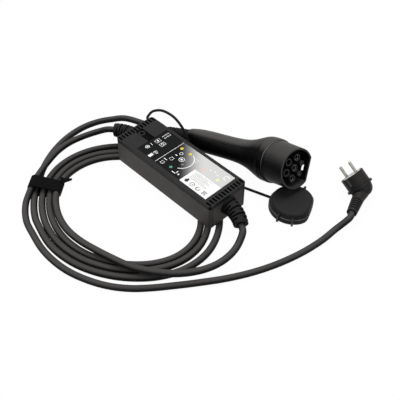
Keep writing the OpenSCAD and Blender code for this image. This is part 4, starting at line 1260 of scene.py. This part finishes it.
@dataclass
class Label:
    """The printed signs on the label: plain frames, bars, dots and an arc."""

    palette: Palette
    lift: float = 0.03

    def __post_init__(self) -> None:
        """Starts with no ink, at the height of the label's face."""
        self._shapes: dict[Look, bmesh.types.BMesh] = {}
        self._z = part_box("label_plate")[1].z / MM + self.lift

    def _face(self, ink: Look, points: Outline) -> None:
        """Adds one flat field of ink."""
        if ink not in self._shapes:
            self._shapes[ink] = bmesh.new()
        shape = self._shapes[ink]
        shape.faces.new([shape.verts.new(at(x, y, self._z)) for x, y in points])

    def bar(self, ink: Look, x: float, y: float, long: float, wide: float) -> None:
        """A bar about its middle, long in X and wide in Y."""
        a, b = long / 2, wide / 2
        self._face(ink, [(x - a, y - b), (x + a, y - b), (x + a, y + b), (x - a, y + b)])

    def disc(self, ink: Look, x: float, y: float, r: float, sides: int = 28) -> None:
        """A round dot, or a field with few sides."""
        self._face(ink, [(x + r * math.cos(a), y + r * math.sin(a)) for a in turns(sides)])

    def arc(self, ink: Look, x: float, y: float, r: float, wide: float, start: float = 0.0,
            end: float = 360.0) -> None:
        """A round band between two angles in degrees."""
        steps = max(8, int(abs(end - start) / 6))
        inner, outer = r - wide / 2, r + wide / 2
        for k in range(steps):
            a, b = (math.radians(mix(start, end, i / steps)) for i in (k, k + 1))
            corners = ((inner, a), (outer, a), (outer, b), (inner, b))
            self._face(ink, [(x + reach * math.cos(t), y + reach * math.sin(t)) for reach, t in corners])

    def outline(self, ink: Look, x: float, y: float, long: float, wide: float, line: float = 0.6) -> None:
        """A rectangle drawn by its edge."""
        self.bar(ink, x, y - wide / 2, long, line)
        self.bar(ink, x, y + wide / 2, long, line)
        self.bar(ink, x - long / 2, y, line, wide + line)
        self.bar(ink, x + long / 2, y, line, wide + line)

    def _rear_field(self) -> None:
        """Signs on the dark field at the mains end."""
        white = Look.INK_WHITE
        self.bar(white, -21.7, 1.2, 0.7, 59.0)
        self.bar(white, -36.5, -24.0, 5.0, 8.0)
        for k in range(3):
            self.bar(white, -38.0 + 2.6 * k, -14.5, 1.0, 7.0 - 1.6 * k)
        self.arc(white, -54.0, -15.0, 3.0, 0.9)
        self.disc(white, -54.0, -15.0, 1.3)
        self.bar(white, -54.0, -7.0, 5.0, 1.0)
        self.outline(white, -53.0, 5.0, 6.5, 9.0)
        self.disc(white, -53.0, 5.0, 1.6)
        self.outline(white, -42.0, 5.0, 6.5, 9.0)
        self.arc(white, -42.0, 5.0, 2.0, 0.8)
        for row in range(2):
            for k in range(5):
                self.bar(white, -55.0 + 5.0 * row, 17.0 + 2.8 * k, 2.6 - 0.6 * (k % 2), 1.1)

    def _middle_field(self) -> None:
        """The arc and the lamp windows."""
        white = Look.INK_WHITE
        self.arc(white, 3.3, 2.5, 19.0, 1.3, -62.0, 72.0)
        self.arc(white, 3.3, 2.5, 4.2, 0.9)
        self.disc(white, 3.3, 2.5, 1.8)
        self.outline(white, -9.0, -6.5, 5.5, 5.5)
        self.outline(white, -13.0, -21.5, 5.0, 5.5)
        self.bar(white, -14.5, -14.0, 6.0, 1.4)
        self.bar(white, -9.5, 3.5, 4.0, 1.4)
        self.arc(white, -6.5, 11.0, 2.6, 0.8)
        self.disc(Look.INK_GREY, 12.0, -4.0, 2.0)
        self.bar(Look.INK_GREY, 10.5, 5.0, 6.0, 1.6)
        self.bar(white, 14.5, -24.5, 7.0, 1.3)
        self.bar(white, 18.0, -20.5, 1.4, 5.0)
        self.disc(white, 23.0, -22.5, 1.5)
        self.disc(Look.INK_YELLOW, -14.3, 19.5, 2.7, 8)
        self.disc(Look.INK_YELLOW, 3.9, 19.9, 2.7, 8)
        self.disc(Look.INK_GREEN, 3.7, -19.7, 2.4)

    def _front_field(self) -> None:
        """The white panel with grey rules, and the pale signs beside it."""
        white, grey, dark = Look.INK_WHITE, Look.INK_GREY, Look.INK_DARK
        self.bar(white, 59.4, -13.6, 54.0, 31.4)
        # What is printed on the panel lies above its ink
        self._z += self.lift
        self.disc(dark, 40.0, -22.0, 3.2)
        self.bar(dark, 40.5, -18.4, 3.2, 2.4)
        self.arc(dark, 52.0, -22.0, 3.6, 0.9)
        self.bar(dark, 52.0, -22.0, 2.8, 1.0)
        self.arc(dark, 64.0, -22.3, 3.2, 1.3, 100.0, 380.0)
        for k in range(9):
            row, column = divmod(k, 3)
            long, wide = 1.9 - 0.6 * (k % 2), 1.9 - 0.5 * (k % 4 == 1)
            self.bar(dark, 74.2 + 2.4 * column, -24.6 + 2.4 * row, long, wide)
        for k in range(7):
            self.bar(grey, 55.0 - 1.6 * (k % 3), -14.5 + 2.3 * k, 36.0 - 5.0 * (k % 3), 0.55)
        self.disc(Look.INK_RED, 42.2, 10.6, 2.6, 8)
        self.disc(Look.INK_STRAW, 71.5, 10.0, 2.6, 8)
        self.outline(white, 20.5, 16.0, 4.5, 6.0)
        for k in range(3):
            self.bar(white, 50.0 + 7.0 * k, 17.0 + 2.5 * (k % 2), 4.0, 1.2)
        self.arc(white, 78.0, 22.0, 4.0, 1.2, 20.0, 300.0)
        self._z -= self.lift

    def build(self) -> None:
        """Prints the label."""
        self._rear_field()
        self._middle_field()
        self._front_field()
        for ink, shape in self._shapes.items():
            piece = mesh_object("label_" + ink.value.name, shape)
            settle(piece, self.palette, ink, "label_print")


@dataclass
class ControlBox:
    """The control box: housing, cover, seal, label and what is inside."""

    palette: Palette
    slot_from: float = 92.0
    slot_half: float = 36.0
    wall: float = 0.5
    recess_x: tuple[float, float] = (-93.0, -62.0)
    recess_half: float = 6.8
    # How far below the top the painted shade begins and ends
    shade_from: float = 0.3
    shade_to: float = 5.5

    def _paint_deep_shade(self, cover: bpy.types.Object) -> None:
        """Paints the walls and floors of the slots and of the hanging recess near black, as painted shade."""
        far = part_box("top_cover")[1] / MM - PLACE

        def sunken(face: bpy.types.MeshPolygon) -> bool:
            """Whether a face lies in a slot or in the recess."""
            x, y, z = face.center / MM - PLACE
            slot = self.slot_from < abs(x) < far.x - self.wall and abs(y) < self.slot_half
            recess = self.recess_x[0] < x < self.recess_x[1] and abs(y) < self.recess_half
            return self.shade_from < far.z - z < self.shade_to and (slot or recess)

        tint_faces(cover, self.palette.of(Look.SLOT), sunken)

    def build(self) -> None:
        """Makes and dresses the box."""
        copies = settle_copies(
            self.palette,
            ("base_housing", "housing_shell", 0.7, Look.HOUSING, "housing_plastic"),
            ("top_cover", "cover_moulding", 0.45, Look.COVER, "cover_plastic"),
            ("hanging_eyelet", "eyelet_ring", 0.4, Look.EYELET, "eyelet_plastic"),
            ("cover_screws", "cover_screw_set", 0.2, Look.ZINC, "screw_steel"))
        self._paint_deep_shade(copies[1])
        for node, look in (
                ("cover_seal", Look.SEAL), ("label_plate", Look.LABEL), ("circuit_board", Look.BOARD),
                ("board_screws", Look.ZINC), ("relays", Look.RELAY), ("current_sensor", Look.SENSOR),
                ("capacitors", Look.CAPACITOR), ("terminal_blocks", Look.TERMINAL),
                ("light_guides", Look.GUIDE)):
            dress(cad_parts[node], self.palette, look)
        Label(self.palette).build()


@dataclass
class DustCap:
    """The dust cap, a stepped cup with one flat that lies on its open side."""

    routes: CableRoutes
    palette: Palette
    # Radius and height from inside the cup over its rim and its step to the top
    profile: Sequence[tuple[float, float]] = (
        (31.9, 14.4), (32.0, 13.8), (32.0, 0.0), (34.8, 0.0), (35.3, 0.2), (35.5, 0.7), (35.5, 8.2),
        (35.3, 8.75), (34.8, 9.0), (34.3, 9.05), (34.0, 9.3), (33.8, 9.9), (32.2, 14.2), (31.7, 15.4),
        (31.0, 16.4), (29.9, 17.1), (28.6, 17.45), (27.2, 17.5))
    bore_r: float = 32.0
    crown_r: float = 33.8
    rim_r: float = 35.5
    step_z: float = 9.2
    roof_z: float = 14.5
    flat: float = 29.6
    flat_wall: float = 3.5
    crown_lean: float = 0.4
    crown_step: float = 0.6
    corner: float = 14.0
    sides: int = 120
    lug_angles: tuple[float, ...] = (-110.0, -75.0, 75.0)
    lug_r: float = 35.3
    lug_size: Point = (7.6, 3.0, 13.6)
    lug_edge: float = 0.7
    sharp_deg: float = 50.0
    # Where the faces of the lugs and of the step lie that take a painted highlight
    rubbed_r: float = 35.7
    rubbed_z: tuple[float, float] = (8.3, 9.4)

    def _ring(self, own: Matrix, radius: float, height: float) -> Ring:
        """Outline of the cap at one height: round, with a chord where its flat is.

        Args:
            own: The cap's own frame.
            radius: Radius of the round part.
            height: Height above the floor.

        Returns:
            The ring of points in the frame.
        """
        inset = self.rim_r - radius
        if height > self.step_z:
            inset = self.crown_lean * max(0.0, self.crown_r - radius) + self.crown_step
        outside = radius > self.bore_r or height > self.roof_z
        chord = self.flat - (inset if outside else self.flat_wall)
        ring = []
        for a in turns(self.sides):
            share = max(0.0, radius * math.cos(a) / chord) ** self.corner
            reach = radius * (1 + share) ** (-1 / self.corner)
            ring.append(own @ Vector((reach * math.cos(a), reach * math.sin(a), height)))
        return ring

    def build(self) -> None:
        """Makes the cap with its lugs."""
        own = own_frame(self.routes.cap_place, (0, 0, self.routes.cap_turn))
        shape = bmesh.new()
        add_loft(shape, [self._ring(own, r, z) for r, z in self.profile])
        for angle in self.lug_angles:
            lug = bmesh.ops.create_cube(shape, size=1.0)["verts"]
            stand = (own @ Matrix.Rotation(math.radians(angle), 4, "Z")
                     @ Matrix.Translation((self.lug_r, 0, self.lug_size[2] / 2))
                     @ Matrix.Diagonal((*self.lug_size, 1)))
            bmesh.ops.transform(shape, matrix=stand, verts=lug)
            edges = list({e for v in lug for e in v.link_edges})
            bmesh.ops.bevel(shape, geom=edges, offset=self.lug_edge * MM, segments=3, affect="EDGES",
                            profile=0.5)
        piece = mesh_object("cap_moulding", shape, self.sharp_deg)
        settle(piece, self.palette, Look.CAP, "cap_rubber", "dust_cap")
        # Painted highlight on the lugs and on the ledge of the step
        back = own.inverted()
        low, high = self.rubbed_z
        tint_faces(piece, self.palette.of(Look.CAP_EDGE),
                   lambda face: (back @ face.center).xy.length > self.rubbed_r
                   or low < face.center.z / MM < high)


@dataclass
class MainsPlug:
    """The angled mains plug: front and pins from the frame, with a rounded back and a ribbed arm."""

    routes: CableRoutes
    palette: Palette
    back_r: float = 17.6
    back_l: float = 17.0
    flange_t: float = 3.0
    arm_root_r: float = 12.5
    arm_mid_r: float = 9.0
    arm_tip_r: float = 7.6
    arm_steps: int = 96
    ribs: int = 6
    rib_from: float = 27.0
    groove: float = 1.5
    lip: float = 0.8
    back_steps: int = 14
    back_power: float = 0.7
    overlap: float = 0.4
    sides: int = 72

    def _back(self, own: Matrix) -> list[Ring]:
        """Rings of the rounded back, from the flange to its middle."""
        rings = []
        for k in range(self.back_steps):
            a = math.pi / 2 * k / self.back_steps
            z = -self.flange_t + self.overlap - self.back_l * math.sin(a)
            r = self.back_r * math.cos(a) ** self.back_power
            rings.append([own @ Vector((r * math.cos(t), r * math.sin(t), z)) for t in turns(self.sides)])
        return rings

    def _arm(self, own: Matrix) -> list[Ring]:
        """Rings of the arm, which is wide at the plug and has grooves near its cable."""
        routes = self.routes
        lean = Matrix.Rotation(math.radians(routes.arm_lean), 4, "Y")
        along = own @ Matrix.Translation((0, 0, routes.arm_root)) @ lean
        profile: Outline = []
        for k in range(self.arm_steps + 1):
            x = routes.arm_l * k / self.arm_steps
            r = mix(self.arm_root_r, self.arm_mid_r, soft(x / self.rib_from))
            if x > self.rib_from:
                far = (x - self.rib_from) / (routes.arm_l - self.rib_from)
                part = far * self.ribs % 1.0
                r = mix(self.arm_mid_r, self.arm_tip_r, far)
                if far < 1 - 1 / self.ribs:
                    r -= self.groove * (1 - abs(2 * part - 1) ** 3) * (part > 0.5)
            profile.append((x, r))
        profile += mouth_end(routes.arm_l, self.arm_tip_r - self.lip, routes.mains_d, self.lip)
        return lathe_rings(profile, along, self.sides)

    def _body(self) -> list[bpy.types.Object]:
        """The moulded body: the solid's front as far as its flange, with a new back and arm."""
        own = own_frame(self.routes.plug_place, self.routes.plug_turn)
        axis = (own.to_3x3() @ Vector((0, 0, 1))).normalized()
        piece = soft_copy("plug_body", "plug_moulding", 0.7)
        shape = bmesh.new()
        shape.from_mesh(piece.data)
        seam = own @ Vector((0, 0, self.overlap / 2 - self.flange_t))
        cut = bmesh.ops.bisect_plane(shape, geom=shape.verts[:] + shape.edges[:] + shape.faces[:],
                                     plane_co=seam, plane_no=axis, clear_inner=True)
        border = [e for e in cut["geom_cut"] if isinstance(e, bmesh.types.BMEdge)]
        bmesh.ops.contextual_create(shape, geom=border)
        shape.to_mesh(piece.data)
        shape.free()
        shape = bmesh.new()
        add_loft(shape, self._back(own))
        add_loft(shape, self._arm(own))
        elbow = mesh_object("plug_elbow", shape)
        settle(elbow, self.palette, Look.PLUG, "plug_rubber", "plug_body")
        settle(piece, self.palette, Look.PLUG, "plug_rubber", "plug_body")
        return [piece, elbow]

    def build(self) -> list[bpy.types.Object]:
        """Makes the plug's pieces and returns them."""
        return self._body() + settle_copies(
            self.palette,
            ("plug_face", "pin_carrier", 0.4, Look.PLUG_FACE, "plug_face_plastic"),
            ("plug_pins", "round_pins", 0.35, Look.NICKEL, "pin_nickel"),
            ("earth_clips", "earth_strips", 0.3, Look.DULL_NICKEL, "pin_nickel"))


def main() -> None:
    """Builds the scene: camera and cords first, then the pieces."""
    logging.basicConfig(level=logging.INFO, format="%(name)s %(message)s")
    palette = Palette()
    Studio().build()
    shape = ConnectorShape()
    routes = CableRoutes()
    plug = MainsPlug(routes, palette).build()
    strap = Strap(routes, palette).build()
    loop = ("tether_ring", "tether_loop", 0.7, Look.TETHER, "tether_rubber")
    ring = settle_copies(palette, loop)[0]
    Cables(routes, shape, palette).build(strap, ring, plug)
    ControlBox(palette).build()
    Boots(routes, shape, palette).build()
    Connector(shape, palette).build()
    DustCap(routes, palette).build()


if __name__ == "__main__":
    main()
